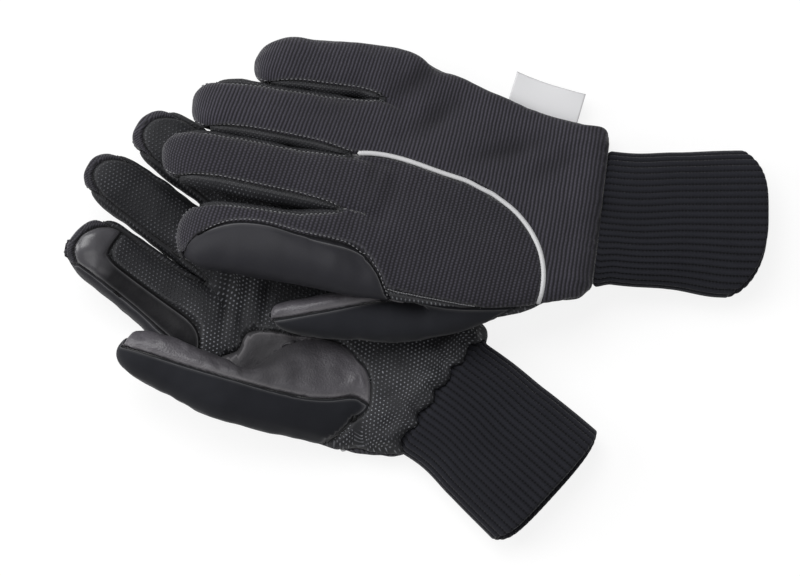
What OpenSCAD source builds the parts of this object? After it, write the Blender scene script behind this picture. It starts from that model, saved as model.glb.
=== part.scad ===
// A pair of insulated work gloves with rib-knit cuffs, laid one across the other.
// The right glove lies back up and rests on the left glove, which lies palm up.
// Each glove is a sewn shell of shaped panels over wadding and a fleece lining.
// Lengths are millimetres. X runs right, Y away from the viewer and Z up.

/* [Hand] */
// Wrist seam to the slots beside the middle finger
hand_length = 118; // [100:1:135]
// How far the slot between ring and little finger is set back
little_slot_back = 13; // [6:1:18]
// How far the knuckle line falls back at the little finger's outer edge
little_edge_back = 26; // [16:1:32]
// How far the knuckle line falls back at the index finger's outer edge
index_edge_back = 6; // [2:1:12]
// How much the hand's back stands higher than the backs of the fingers
back_rise = 2.5; // [0:0.5:5]
// How much flatter the palm lies than the fronts of the fingers
palm_dip = 1; // [0:0.5:2]
// How far the rolled hem stands up over the cuff
hem_rise = 1.5; // [0.5:0.25:3]
// Width of the shell at its gathered hem, just past the wrist seam: right glove, left glove
hem_widths = [82, 76]; // [70:1:96]
// How full the thumb-side edge stands between hem and knuckles
thumb_edge_power = 2.2; // [1.4:0.1:3]
// How hollow the little finger's edge runs between hem and knuckles
little_edge_power = 1.9; // [1.2:0.1:2.4]
// Sideways offset of the knuckles from the wrist's centre line
knuckle_offset = -6; // [-10:0.5:0]

/* [Fingers] */
// Finger widths at the knuckles: index, middle, ring, little
finger_widths = [38, 28, 31, 28]; // [20:1:40]
// Finger lengths from the knuckle line: index, middle, ring, little
finger_lengths = [76, 88, 84, 70]; // [50:1:100]
// Thickness of a finger stall
finger_thickness = 23; // [18:0.5:28]
// Angle above the finger's mid plane at which a side wall is sewn to the back
wall_angle = 36; // [25:1:50]
// How far the broad panel on the index finger's outer side climbs over the back
side_panel_back = 108; // [60:1:120]
// How far the same panel climbs over the palm side
side_panel_palm = 50; // [30:1:60]
// Where along a finger the tip begins to round off, as a share of the length
tip_start = 0.72; // [0.6:0.02:0.8]
// How much narrower and how much flatter the finger is at its end
tip_narrowing = 0.42; // [0.2:0.02:0.6]
tip_flattening = 0.7; // [0.4:0.02:0.8]
// Where along the index finger its leather tip begins, as a share of the length
fingertip_start = 0.72; // [0.6:0.02:0.8]

/* [Thumb] */
// Width of the thumb stall
thumb_width = 23; // [18:0.5:28]
// Thickness of the thumb stall
thumb_thickness = 18; // [15:0.5:24]
// Length of the free thumb beyond the palm, as it lies: right glove, left glove
thumb_lengths = [62, 57]; // [45:1:75]
// How far short of the inset's upper end the free thumb begins
thumb_set_back = 4; // [0:1:10]
// How far the thumb's axis lies outside the index finger's edge: right glove, left glove
thumb_outs = [4.5, -1]; // [-4:0.5:10]
// Drop from the hand's mid plane to the near side of the thumb: right glove, left glove
thumb_clears = [7.5, 11.5]; // [6:0.5:14]
// How far the thumb's inset reaches in from the edge, as a share of half the width
inset_depth = 0.85; // [0.5:0.05:0.9]

/* [Layers] */
// Thickness of the shell fabric and leather
shell = 1.2; // [0.8:0.1:2]
// Thickness of the wadding
wadding = 1.6; // [1:0.1:3]
// Thickness of the fleece lining
fleece = 1.2; // [0.8:0.1:2.5]
// Slack between one layer and the next
slack = 0.9; // [0.6:0.05:1.2]

/* [Cuff] */
// Length of the rib-knit cuff as it lies: right glove, left glove
cuff_lengths = [77, 67]; // [50:1:90]
// Width of the cuff at the wrist seam: right glove, left glove
wrist_widths = [61, 65]; // [56:1:70]
// Width of the cuff at its open end: right glove, left glove
cuff_end_widths = [67, 70]; // [60:1:80]
// How far the open end draws back at its two sides: right glove, left glove
cuff_bows = [9, 2]; // [0:1:14]
// Sideways offset of the wrist seam towards the thumb: right glove, left glove
wrist_shifts = [2.5, 0]; // [-4:0.5:4]
// Thickness of the flattened cuff
cuff_height = 24; // [18:0.5:30]
// Wall of the doubled knit at the open end
cuff_wall = 3.2; // [2:0.1:5]

/* [Trim] */
// Width of the reflective piping
piping_width = 2.2; // [1.5:0.1:4]
// Height of the piping over the back
piping_rise = 0.9; // [0.4:0.1:1.5]
// Length of the label tab along the side seam
label_length = 33; // [20:1:40]
// How far the label tab stands out of the seam
label_reach = 14; // [8:1:20]
// Thickness of the folded label tab
label_thickness = 0.9; // [0.5:0.1:1.5]
// Where the label tab begins, from the wrist seam
label_start = 16; // [10:1:30]
// Room between the side seam and the tab, in which it folds
label_clear = 1.2; // [0.8:0.1:3]
// Droop of the tab for each millimetre that it stands out
label_droop = 0.1; // [0:0.05:0.3]

/* [Pair] */
// Turn of the right glove from the X axis
right_turn = 6.5; // [0:0.5:15]
// Turn of the left glove from the X axis
left_turn = 36; // [25:0.5:45]
// Sideways bend of the right cuff
right_cuff_bend = -6; // [-12:0.5:12]
// Sideways bend of the left cuff
left_cuff_bend = 6; // [-12:0.5:12]
// Sideways lean of the right glove's fingers: index, middle, ring, little
right_lean = [-3, -6.5, -5, 0]; // [-10:0.5:10]
// Sideways lean of the left glove's fingers: index, middle, ring, little
left_lean = [1, 0, 0, 2]; // [-10:0.5:10]
// Bend of the right glove's fingers to the palm side: index, middle, ring, little
right_curl = [15, 10, 5, 4]; // [1:1:40]
// Bend of the left glove's fingers to the palm side: index, middle, ring, little
left_curl = [38, 32, 16, 10]; // [1:1:40]
// Turn of the thumb away from the hand: right glove, left glove
thumb_turn = [6, 11]; // [0:0.5:20]
// Sideways sway of the knuckles against the wrist: right glove, left glove
sway = [0, 3.5]; // [-6:0.5:6]
// Where the right glove's wrist seam lies
right_wrist = [88.2, 35.2]; // [-150:0.5:150]
// Where the left glove's wrist seam lies
left_wrist = [15.7, -50.3]; // [-150:0.5:150]
// How far the left glove's finger stalls flatten on the floor
floor_press = 0.5; // [0:0.1:1]
// Height of the right cuff over the floor
cuff_lift = 0.3; // [0.1:0.1:2]
// Loft between the right glove's thumb and the palm of the left glove under it
pair_gap = 7; // [4:0.5:15]
// Room between the two palms where the right glove crosses the left glove's outer edge
edge_gap = 1.15; // [0.8:0.05:4]
// How wide the right glove's slope is, across the left glove's outer edge
slope_width = 105; // [80:1:130]

/* [Hidden] */
index = 0;
middle = 1;
ring = 2;
little = 3;
right = 0;
left = 1;

palm_width = finger_widths[0] + finger_widths[1] + finger_widths[2] + finger_widths[3];
half_width = palm_width / 2;
half_finger = finger_thickness / 2;
half_cuff = cuff_height / 2;
back_height = half_finger + back_rise;
palm_height = half_finger - palm_dip;

// Heights of the mid planes: the left glove's, and the right glove's beside it, on it and
// over its outer edge, with the share of the slope that lies below that edge
left_mid = half_finger - floor_press;
right_mid_low = half_cuff + cuff_lift;
right_mid_high =
  left_mid + palm_height + pair_gap + thumb_clears[0] + thumb_thickness;
right_mid_edge = left_mid + 2 * palm_height + edge_gap;
edge_share = (right_mid_edge - right_mid_low) / (right_mid_high - right_mid_low);

// Depths of each layer's outer and inner face below the shell's outer face
wadding_depth = [shell + slack, shell + slack + wadding];
fleece_depth = [wadding_depth[1] + slack, wadding_depth[1] + slack + fleece];

// Slots between the fingers, from the index finger's outer edge to the little finger's
slot_b = [
  knuckle_offset + half_width,
  knuckle_offset + half_width - finger_widths[0],
  knuckle_offset + half_width - finger_widths[0] - finger_widths[1],
  knuckle_offset - half_width + finger_widths[3],
  knuckle_offset - half_width
];
slot_a = [
  hand_length - index_edge_back,
  hand_length,
  hand_length,
  hand_length - little_slot_back,
  hand_length - little_edge_back
];
knuckle_line = [for (i = [4:-1:0]) [slot_b[i], slot_a[i]]];

// Thumb axis: where the free thumb begins, how far out it lies and how far down
inset_mid = 0.45;
inset_half = 0.3;
thumb_start = (inset_mid + inset_half) * slot_a[0] - thumb_set_back;
thumb_sides = [for (out = thumb_outs) slot_b[0] + out];
thumb_drops = [for (clear = thumb_clears) clear + thumb_thickness / 2];

// Section powers: boxy where fingers stand side by side, rounder along the stall
knuckle_power = 5;
finger_power = 2.5;
hand_power = 2.6;

// Shares of the hand's length: hem roll, start of the knuckle scallops and of the side panel
hem_share = 0.04;
scallop_share = 0.7;
side_panel_share = 0.8;
seam_step = 0.006;
piping_end = 0.985;

// Room beside the piping, and how deep it is set in the shell
piping_clear = 0.3;
piping_root = 0.7;

// Gap at the wrist seam, and how far the cuff draws in at half its length
wrist_gap = 0.1;
cuff_waist = 0.6;

// Leather band beside the index finger's seam: its share of the front's columns, and where
// its lobe ends on the hand
band_steps = 2;
band_row = 0.9;

// Stations along a finger
finger_rows = [0, 0.16, 0.46, fingertip_start, 0.9, 1];
inner_finger_rows = [0, 0.16, 0.46, fingertip_start, 1];
thumb_rows = [0, 0.35, 0.68, 0.87, 1];

arc_steps = 4;
inner_arc_steps = 2;
wall_steps = 2;
inset_steps = 6;
cuff_steps = 20;
cuff_rows = [0, 0.3, 0.65, 0.94, 1];

lean = [right_lean, left_lean];
curl = [right_curl, left_curl];
cuff_bend = [right_cuff_bend, left_cuff_bend];

fabric = [0.11, 0.11, 0.115];
grip = [0.085, 0.085, 0.09];
leather = [0.1, 0.092, 0.088];
softshell = [0.1, 0.105, 0.12];
knit = [0.075, 0.078, 0.095];
reflective = [0.72, 0.72, 0.71];

function smooth(t) = let (u = min(1, max(0, t))) u * u * (3 - 2 * u);
function mix(p, q, t) = p + (q - p) * t;
function super_x(t, p) = sign(cos(t)) * pow(abs(cos(t)), 2 / p);
function super_z(t, p) = sign(sin(t)) * pow(abs(sin(t)), 2 / p);
function arched(x, p) = pow(max(0, 1 - pow(abs(x), p) - 1e-9), 1 / p);
function last(list) = list[len(list) - 1];

// From a glove's own axes to the pair: a runs from wrist to fingertips, b to the thumb
// side and c to the back of the hand. The left glove lies on its back on the floor.
function turned(a, b, turn, at) = [
  at[0] - a * cos(turn) - b * sin(turn),
  at[1] + a * sin(turn) - b * cos(turn)
];
function across_left(p) =
  -sin(left_turn) * (p[0] - left_wrist[0]) - cos(left_turn) * (p[1] - left_wrist[1]);
function right_mid(p) =
  let (t = min(1, max(0, edge_share + (across_left(p) + half_width) / slope_width)))
  mix(right_mid_low, right_mid_high, (t + smooth(t)) / 2);
function laid(glove, q, depth) =
  let (
    b = q[1] + sway[glove] * smooth(q[0] / hand_length),
    p = glove == right ? turned(q[0], b, right_turn, right_wrist)
                       : turned(q[0], b, left_turn, left_wrist)
  )
  [p[0], p[1], max(depth, glove == right ? right_mid(p) + q[2] : left_mid - q[2])];

// Finger stall: a row of superellipses, narrowing and rounding off at the tip.
// t is the angle round the section from the thumb side, over the back.
function finger_mid_b(i) = (slot_b[i] + slot_b[i + 1]) / 2;
function finger_mid_a(i) = (slot_a[i] + slot_a[i + 1]) / 2;
function tip_share(s) = max(0, (s - tip_start) / (1 - tip_start));
function finger_half(i, s, depth) =
  (finger_widths[i] / 2 - depth) * (1 - 0.1 * s) * (1 - tip_narrowing * pow(tip_share(s), 2.4));
function finger_high(s, depth) =
  (half_finger - depth) * (1 - 0.08 * s) * (1 - tip_flattening * pow(tip_share(s), 2.6));
function free_side(i, t) = (i == index && cos(t) > 0) || (i == little && cos(t) < 0);
function finger_at(glove, i, s, t, depth) =
  let (
    p = free_side(i, t) ? finger_power : mix(knuckle_power, finger_power, smooth(s / 0.3)),
    along = finger_lengths[i] * s - depth,
    radius = finger_lengths[i] / (curl[glove][i] * PI / 180),
    bent = curl[glove][i] * max(0, along) / finger_lengths[i],
    reach = radius * sin(bent),
    side = super_x(t, p) * finger_half(i, s, depth),
    base_side = super_x(t, p) * (finger_widths[i] / 2 - depth) / (finger_widths[i] / 2),
    slant = (slot_a[i] - slot_a[i + 1]) / 2 * base_side * (1 - smooth(s / 0.4))
  )
  [
    finger_mid_a(i) + min(0, along) + reach * cos(lean[glove][i]) + slant,
    finger_mid_b(i) + reach * sin(lean[glove][i]) + side,
    super_z(t, p) * finger_high(s, depth) - radius * (1 - cos(bent))
  ];

// Hand: an arched sleeve between the wrist seam (v = 0) and the knuckle line (v = 1),
// which passes over into the row of finger sections. x runs across from -1 to 1.
function hem_roll(v) = 1 - sqrt(1 - pow(1 - min(1, v / hem_share), 2));
function hand_half(glove, v, x) =
  let (hem = hem_widths[glove] / 2)
  mix(hem, half_width, x > 0 ? 1 - pow(1 - v, thumb_edge_power) : pow(v, little_edge_power))
  - (hem - wrist_widths[glove] / 2) * hem_roll(v);
function hand_mid(glove, v) = knuckle_offset * v * v + wrist_shifts[glove] * hem_roll(v);
function hand_high(v, side) =
  mix(half_cuff + hem_rise, side > 0 ? back_height : palm_height, smooth(v / 0.4))
  - hem_rise * hem_roll(v);
function finger_of(b) = b > slot_b[1] ? 0 : b > slot_b[2] ? 1 : b > slot_b[3] ? 2 : 3;
function knuckle_high(b, depth) =
  let (
    i = finger_of(b),
    raw = (b - finger_mid_b(i)) / (finger_widths[i] / 2 - depth),
    wall = super_x(wall_angle, knuckle_power),
    top = i == index ? 1 : wall,
    low = i == little ? -1 : -wall,
    x = min(top, max(low, raw)),
    p = (i == index && x > 0) || (i == little && x < 0) ? finger_power : knuckle_power
  )
  (half_finger - depth) * arched(x, p);
function hand_at(glove, x, v, side, depth) =
  let (
    edge_b = knuckle_offset + (half_width - depth) * x,
    arch = (hand_high(v, side) - depth) * arched(x, hand_power),
    w = smooth((v - scallop_share) / (1 - scallop_share))
  )
  [
    v * (lookup(edge_b, knuckle_line) - depth),
    hand_mid(glove, v) + (hand_half(glove, v, x) - depth) * x,
    side * mix(arch, knuckle_high(edge_b, depth), w)
  ];

// Thumb inset in the palm: a parabola that opens at the thumb-side seam.
function inset_v(turn) = inset_mid - inset_half * cos(turn);
function inset_x(turn) = 1 - inset_depth * pow(sin(turn), 2);
function inset_turn(v) = acos(min(1, max(-1, (inset_mid - v) / inset_half)));
inset_start = inset_v(0);
inset_end = inset_v(180);
function inset_station(k, steps) = 90 * k / steps + 45 * (1 - cos(180 * k / steps));
function inset_rows(steps) = [for (k = [0:steps]) inset_v(inset_station(k, steps))];
shell_rows = concat(
  [0, hem_share, inset_start - seam_step],
  inset_rows(inset_steps),
  [side_panel_share - seam_step, side_panel_share, band_row, 1]
);
function with_row(rows, extra) =
  concat([for (v = rows) if (v < extra) v], [extra], [for (v = rows) if (v > extra) v]);
back_rows = with_row(with_row(with_row(shell_rows, 0.195), 0.23), 0.35);
inner_rows = concat([0, hem_share], inset_rows(inset_steps), [side_panel_share, band_row, 1]);

// Piping line over the back, from the middle and ring finger slot to the thumb side.
piping_line = [
  [inset_start, 0.985], [0.19, 0.84], [0.22, 0.54], [0.27, 0.32], [0.35, 0.14], [0.45, 0.01],
  [0.63, -0.1], [0.8, -0.12], [0.9, -0.11], [1, (slot_b[2] - knuckle_offset) / half_width]
];
function piping_x(v) = lookup(v, piping_line);
function piping_half(v) = piping_width / 2 / half_width * (v == inset_start ? 0.4 : 1);

// Columns of a panel: section angles of the fingers that it carries
// The side panel on the index finger is a leaf: it climbs over the back in mid finger.
function side_panel_turn(side, s) =
  side > 0 ? side_panel_back * (0.7 + 0.3 * sin(180 * pow(s, 0.8))) : side_panel_palm;
function arc_from(i, side, s, panelled) =
  i == index ? (panelled ? side_panel_turn(side, s) : 0) : wall_angle;
function arc_to(i) = i == little ? 180 : 180 - wall_angle;
function arc_turn(i, side, s, k, steps, panelled) =
  mix(arc_from(i, side, s, panelled), arc_to(i), k / steps);
function columns(fingers, side, steps, panelled) =
  [for (i = fingers) for (k = [0:steps]) [i, arc_turn(i, side, 0, k, steps, panelled)]];
function column_x(column, depth) =
  (finger_mid_b(column[0]) - knuckle_offset
    + (finger_widths[column[0]] / 2 - depth)
      * super_x(column[1], free_side(column[0], column[1]) ? finger_power : knuckle_power))
  / (half_width - depth);

// Limits of a panel towards the thumb side and towards the little finger's side
function side_panel_x(side, v, turn) =
  mix(1 - 0.015 * turn / side_panel_turn(side, 0), column_x([index, turn], 0),
    (v - side_panel_share) / (1 - side_panel_share));
function thumb_limit(side, v, panelled) =
  v < side_panel_share || !panelled ? 1 : side_panel_x(side, v, side_panel_turn(side, 0));
function palm_limit(v, panelled) =
  v < inset_start || v > inset_end ? thumb_limit(-1, v, panelled) : inset_x(inset_turn(v));

// Columns are even round the arch at the wrist and pass over into the finger columns.
function knuckle_share(v) = smooth((v - 0.78) / 0.22);
function arch_turn(x) = acos(sign(x) * pow(abs(x), hand_power / 2));
function hand_row(glove, cols, v, side, depth, from, to) =
  let (
    first = column_x(cols[0], depth),
    final = column_x(last(cols), depth)
  )
  [for (n = [0:len(cols) - 1])
    let (
      x = column_x(cols[n], depth),
      even = super_x(mix(arch_turn(from), arch_turn(to), n / (len(cols) - 1)), hand_power),
      moved = mix(to, from, (x - final) / (first - final))
    )
    laid(glove, hand_at(glove, v == 1 ? x : mix(even, moved, knuckle_share(v)), v, side, depth), depth)];

// Finger strip of a panel: side 1 is the back and rolls over the tip, side -1 the palm.
function strip_row(glove, i, s, side, roll, depth, steps, panelled) =
  [for (k = [0:steps])
    laid(glove, finger_at(glove, i, s, side * arc_turn(i, roll, s, k, steps, panelled), depth), depth)];
function strip(glove, i, rows, side, depth, steps, panelled) = concat(
  [for (s = rows) strip_row(glove, i, s, side, side, depth, steps, panelled)],
  side > 0 && last(rows) == 1 ? [strip_row(glove, i, 1, -1, -1, depth, steps, panelled)] : []
);

// Wall of one finger from the back seam to the palm seam
function wall_row(glove, i, s, outer_side, depth, steps) =
  [for (k = [0:steps])
    let (
      t = outer_side > 0 ? mix(wall_angle, -wall_angle, k / steps)
                         : mix(180 - wall_angle, 180 + wall_angle, k / steps)
    )
    laid(glove, finger_at(glove, i, s, t, depth), depth)];
function fourchette_grid(glove, i, rows, depth, steps) = concat(
  [for (k = [len(rows) - 1:-1:0]) wall_row(glove, i, rows[k], -1, depth, steps)],
  [for (s = rows) wall_row(glove, i + 1, s, 1, depth, steps)]
);

// Thumb: rings of points from the inset's rim to the tip. Seam points are 0 and half way.
function rim_at(glove, k, steps, depth) =
  let (n = (k + 2 * steps / 6) % (2 * steps))
  let (turn = inset_station(n <= steps ? n : 2 * steps - n, steps))
  laid(glove, hand_at(glove, n <= steps ? inset_x(turn) : 1, inset_v(turn), -1, depth), depth);
function thumb_tip_share(u) = max(0, (u - 0.6) / 0.4);
function thumb_at(glove, u, turn, depth) =
  let (
    tip = pow(thumb_tip_share(u), 2.4),
    reach = thumb_lengths[glove] * u - depth,
    wide = (thumb_width / 2 - depth) * (1 - 0.42 * tip),
    high = (thumb_thickness / 2 - depth) * (1 - 0.7 * tip)
  )
  laid(glove, [
    thumb_start + reach * cos(thumb_turn[glove]),
    thumb_sides[glove] + reach * sin(thumb_turn[glove]) - wide * super_z(turn, finger_power),
    -thumb_drops[glove] - high * super_x(turn, finger_power)
  ], depth);
function thumb_row(glove, u, from, to, steps, depth) =
  [for (k = [from:to]) thumb_at(glove, u, 180 * k / steps, depth)];
function thumb_grid(glove, from, to, steps, depth) = concat(
  [[for (k = [from:to]) rim_at(glove, k, steps, depth)]],
  [for (u = thumb_rows) thumb_row(glove, u, from, to, steps, depth)]
);
function thumb_cap(glove, steps, depth) =
  [[for (k = [steps:2 * steps]) thumb_at(glove, 1, 180 * (2 * steps - k) / steps, depth)]];

// Cuff: rings from the wrist seam to the open end, bending a little to one side
function cuff_at(glove, share, turn, depth) =
  let (
    x = super_x(turn, hand_power),
    along = share * (cuff_lengths[glove] - cuff_bows[glove] * pow(abs(x), 3)),
    bend = cuff_bend[glove] * smooth(share * 2),
    half = mix(wrist_widths[glove], cuff_end_widths[glove], smooth(share)) / 2 - depth,
    high = half_cuff - cuff_waist * sin(180 * share) - depth
  )
  laid(glove, [
    -wrist_gap - along * cos(bend) + half * x * sin(bend),
    wrist_shifts[glove] + along * sin(bend) + half * x * cos(bend),
    high * super_z(turn, hand_power)
  ], depth);
function cuff_depth(share) = mix(last(fleece_depth), cuff_wall, smooth(share * 3));
function cuff_ring(glove, share, depth) =
  [for (k = [0:cuff_steps]) cuff_at(glove, share, 360 * (k % cuff_steps) / cuff_steps, depth)];

// A patch is [outer grid, inner grid, turn, walls], where turn is 1 if the grid's rows and
// columns run so that the outer face looks out, and walls says which borders are closed:
// first row, last row (one flag per span or one for all), first column, last column.
function flag(flags, c) = is_list(flags) ? flags[c] : flags;
function split(p, a, b, ib, ia) =
  p[a].x > p[b].x ? [[a, b, ib], [a, ib, ia]] : [[a, b, ia], [b, ib, ia]];
function patch_points(patch) = concat(
  [for (row = patch[0]) each row],
  [for (row = patch[1]) each row]
);
function patch_faces(patch, points, start) =
  let (
    rows = len(patch[0]),
    cols = len(patch[0][0]),
    in = rows * cols,
    walls = patch[3]
  )
  [
    for (r = [0:rows - 2]) for (c = [0:cols - 2])
      let (a = start + r * cols + c, b = a + 1, d = a + cols, e = d + 1)
      each [[a, b, e], [a, e, d], [a + in, e + in, b + in], [a + in, d + in, e + in]],
    for (c = [0:cols - 2])
      let (a = start + c, z = start + (rows - 1) * cols + c)
      each concat(
        flag(walls[0], c) ? split(points, a + 1, a, a + in, a + 1 + in) : [],
        flag(walls[1], c) ? split(points, z, z + 1, z + 1 + in, z + in) : []
      ),
    for (r = [0:rows - 2])
      let (a = start + r * cols, d = a + cols, b = a + cols - 1, e = d + cols - 1)
      each concat(
        flag(walls[2], r) ? split(points, a, d, d + in, a + in) : [],
        flag(walls[3], r) ? split(points, e, b, b + in, e + in) : []
      )
  ];
function patch_start(patches, n) =
  n == 0 ? 0 : patch_start(patches, n - 1) + 2 * len(patches[n - 1][0]) * len(patches[n - 1][0][0]);

function apart(p, q) = norm(p - q) > 0.0001;

// Closed solid between the outer and inner faces of a set of joined patches
module sewn(glove, patches) {
  points = [for (patch = patches) each patch_points(patch)];
  faces = [
    for (n = [0:len(patches) - 1])
      let (turn = patches[n][2] * (glove == right ? 1 : -1))
      for (f = patch_faces(patches[n], points, patch_start(patches, n)))
        if (apart(points[f[0]], points[f[1]]) && apart(points[f[1]], points[f[2]])
            && apart(points[f[2]], points[f[0]]))
          turn > 0 ? [f[2], f[1], f[0]] : f
  ];
  polyhedron(points = points, faces = faces);
}

// Spans of the knuckle line that are slots, not fingers
function slot_flags(cols) =
  [for (c = [0:len(cols) - 2]) cols[c][0] != cols[c + 1][0]];
function columns_of(grid, from, to) = [for (row = grid) [for (k = [from:to]) row[k]]];

function back_patches(glove, fingers, rows, from, to) =
  let (cols = columns(fingers, 1, arc_steps, true))
  concat(
    [[
      [for (n = [0:len(rows) - 1]) hand_row(glove, cols, rows[n], 1, 0, from[n], to[n])],
      [for (n = [0:len(rows) - 1]) hand_row(glove, cols, rows[n], 1, shell, from[n], to[n])],
      1, [true, slot_flags(cols), true, true]
    ]],
    [for (i = fingers) [
      strip(glove, i, finger_rows, 1, 0, arc_steps, true),
      strip(glove, i, finger_rows, 1, shell, arc_steps, true),
      1, [false, true, true, true]
    ]]
  );

// Back panel over the wrist, the ring finger and the little finger
module back_outer_panel(glove) {
  color(fabric)
    sewn(glove, back_patches(glove, [ring, little], back_rows,
      [for (v = back_rows) v < inset_start ? 1 : piping_x(v) - piping_half(v)],
      [for (v = back_rows) -1]));
}

// Back panel over the thumb side, the index finger and the middle finger
module back_inner_panel(glove) {
  rows = [for (v = back_rows) if (v >= inset_start) v];
  color(fabric)
    sewn(glove, back_patches(glove, [index, middle], rows,
      [for (v = rows) thumb_limit(1, v, true)],
      [for (v = rows) piping_x(v) + piping_half(v)]));
}

// Raised strip between the two back panels
module reflective_piping(glove) {
  rows = concat([for (v = back_rows) if (v >= inset_start && v < 1) v], [piping_end]);
  spare = piping_clear / half_width;
  root = shell * piping_root;
  color(reflective)
    sewn(glove, [[
      [for (v = rows) [for (k = [1, 0, -1])
        laid(glove, hand_at(glove, piping_x(v) + (piping_half(v) - spare) * k, v, 1, 0)
          + [0, 0, k == 0 ? piping_rise : piping_rise / 3], 0)]],
      [for (v = rows) [for (k = [1, 0, -1])
        laid(glove, hand_at(glove, piping_x(v) + (piping_half(v) - spare) * k, v, 1, root), root)]],
      1, [true, true, true, true]
    ]]);
}

// Rows of the palm between two stations, and the front of the index finger below its tip
function palm_columns() = columns([index, middle, ring, little], -1, arc_steps, true);
function palm_rows(glove, rows, depth) =
  [for (v = rows) hand_row(glove, palm_columns(), v, -1, depth, palm_limit(v, true), -1)];
function index_front(glove, depth) =
  strip(glove, index, [for (s = finger_rows) if (s <= fingertip_start) s], -1, depth, arc_steps, true);

// Grip palm with all four finger fronts; the index front leaves room for its leather
module palm_panel(glove) {
  rows = [for (v = shell_rows) if (v <= band_row) v];
  spans = slot_flags(palm_columns());
  end = len(spans);
  color(grip)
    sewn(glove, concat(
      [[
        palm_rows(glove, rows, 0), palm_rows(glove, rows, shell),
        -1, [true, [for (c = [0:end - 1]) c < band_steps], true, true]
      ], [
        columns_of(palm_rows(glove, [band_row, 1], 0), band_steps, end),
        columns_of(palm_rows(glove, [band_row, 1], shell), band_steps, end),
        -1, [false, [for (c = [band_steps:end - 1]) spans[c]], true, true]
      ], [
        columns_of(index_front(glove, 0), band_steps, arc_steps),
        columns_of(index_front(glove, shell), band_steps, arc_steps),
        -1, [false, true, true, true]
      ]],
      [for (i = [middle, ring, little]) [
        strip(glove, i, finger_rows, -1, 0, arc_steps, true),
        strip(glove, i, finger_rows, -1, shell, arc_steps, true),
        -1, [false, true, true, true]
      ]]
    ));
}

// Strip round one slot that forms the facing walls of two fingers
module fourchette(glove, i) {
  color(grip)
    sewn(glove, [[
      fourchette_grid(glove, i, finger_rows, 0, wall_steps),
      fourchette_grid(glove, i, finger_rows, shell, wall_steps),
      -1, [true, true, true, true]
    ]]);
}

// Broad smooth panel on the index finger's outer side, tapering out along the hand
function side_panel_grid(glove, depth) =
  let (rows = [for (v = shell_rows) if (v >= side_panel_share && v < 1) v])
  concat(
    [for (v = rows) [for (k = [-3:3])
      let (
        side = k < 1 ? 1 : -1,
        x = side_panel_x(side, v, side_panel_turn(side, 0) * abs(k) / 3)
      )
      laid(glove, hand_at(glove, x, v, side, depth), depth)]],
    [for (s = finger_rows) [for (k = [-3:3])
      let (side = k < 1 ? 1 : -1)
      laid(glove, finger_at(glove, index, s, side_panel_turn(side, s) * -k / 3, depth), depth)]]
  );
module index_side_panel(glove) {
  color(leather)
    sewn(glove, [[
      side_panel_grid(glove, 0), side_panel_grid(glove, shell), -1, [true, true, true, true]
    ]]);
}

// Leather front of the index fingertip, with a band along the seam and a lobe on the hand
module index_fingertip(glove) {
  rows = [for (s = finger_rows) if (s >= fingertip_start) s];
  color(leather)
    sewn(glove, [[
      columns_of(palm_rows(glove, [band_row, 1], 0), 0, band_steps),
      columns_of(palm_rows(glove, [band_row, 1], shell), 0, band_steps),
      -1, [true, false, true, true]
    ], [
      columns_of(index_front(glove, 0), 0, band_steps),
      columns_of(index_front(glove, shell), 0, band_steps),
      -1, [false, false, true, true]
    ], [
      strip(glove, index, rows, -1, 0, arc_steps, true),
      strip(glove, index, rows, -1, shell, arc_steps, true),
      -1, [[for (c = [0:arc_steps - 1]) c >= band_steps], true, true, true]
    ]]);
}

// Outer half of the thumb, rolled over the tip
module thumb_back(glove) {
  color(softshell)
    sewn(glove, [[
      concat(thumb_grid(glove, inset_steps, 2 * inset_steps, inset_steps, 0),
        thumb_cap(glove, inset_steps, 0)),
      concat(thumb_grid(glove, inset_steps, 2 * inset_steps, inset_steps, shell),
        thumb_cap(glove, inset_steps, shell)),
      -1, [true, true, true, true]
    ]]);
}

// Inner half of the thumb with the lobe that is let into the palm
module thumb_palm(glove) {
  color(leather)
    sewn(glove, [[
      thumb_grid(glove, 0, inset_steps, inset_steps, 0),
      thumb_grid(glove, 0, inset_steps, inset_steps, shell),
      -1, [true, true, true, true]
    ]]);
}

// Inner bag of one layer: hand, four fingers and thumb, open at the wrist
module inner_bag(glove, depths) {
  rows = inner_rows;
  fingers = [index, middle, ring, little];
  cols = columns(fingers, 1, inner_arc_steps, false);
  sewn(glove, concat(
    [for (side = [1, -1]) [
      [for (v = rows) hand_row(glove, cols, v, side, depths[0],
        side > 0 ? 1 : palm_limit(v, false), -1)],
      [for (v = rows) hand_row(glove, cols, v, side, depths[1],
        side > 0 ? 1 : palm_limit(v, false), -1)],
      side, [true, false, false, false]
    ]],
    [for (i = fingers) for (side = [1, -1]) [
      strip(glove, i, inner_finger_rows, side, depths[0], inner_arc_steps, false),
      strip(glove, i, inner_finger_rows, side, depths[1], inner_arc_steps, false),
      side, [false, false, false, false]
    ]],
    [for (i = [index, middle, ring]) [
      fourchette_grid(glove, i, inner_finger_rows, depths[0], 1),
      fourchette_grid(glove, i, inner_finger_rows, depths[1], 1),
      -1, [false, false, false, false]
    ]],
    [[
      thumb_grid(glove, 0, inset_steps, inset_steps, depths[0]),
      thumb_grid(glove, 0, inset_steps, inset_steps, depths[1]),
      -1, [false, false, false, false]
    ], [
      concat(
        thumb_grid(glove, inset_steps, 2 * inset_steps, inset_steps, depths[0]),
        thumb_cap(glove, inset_steps, depths[0])),
      concat(
        thumb_grid(glove, inset_steps, 2 * inset_steps, inset_steps, depths[1]),
        thumb_cap(glove, inset_steps, depths[1])),
      -1, [false, false, false, false]
    ]]
  ));
}

module wadding_bag(glove) {
  color([0.55, 0.56, 0.58]) inner_bag(glove, wadding_depth);
}

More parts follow.
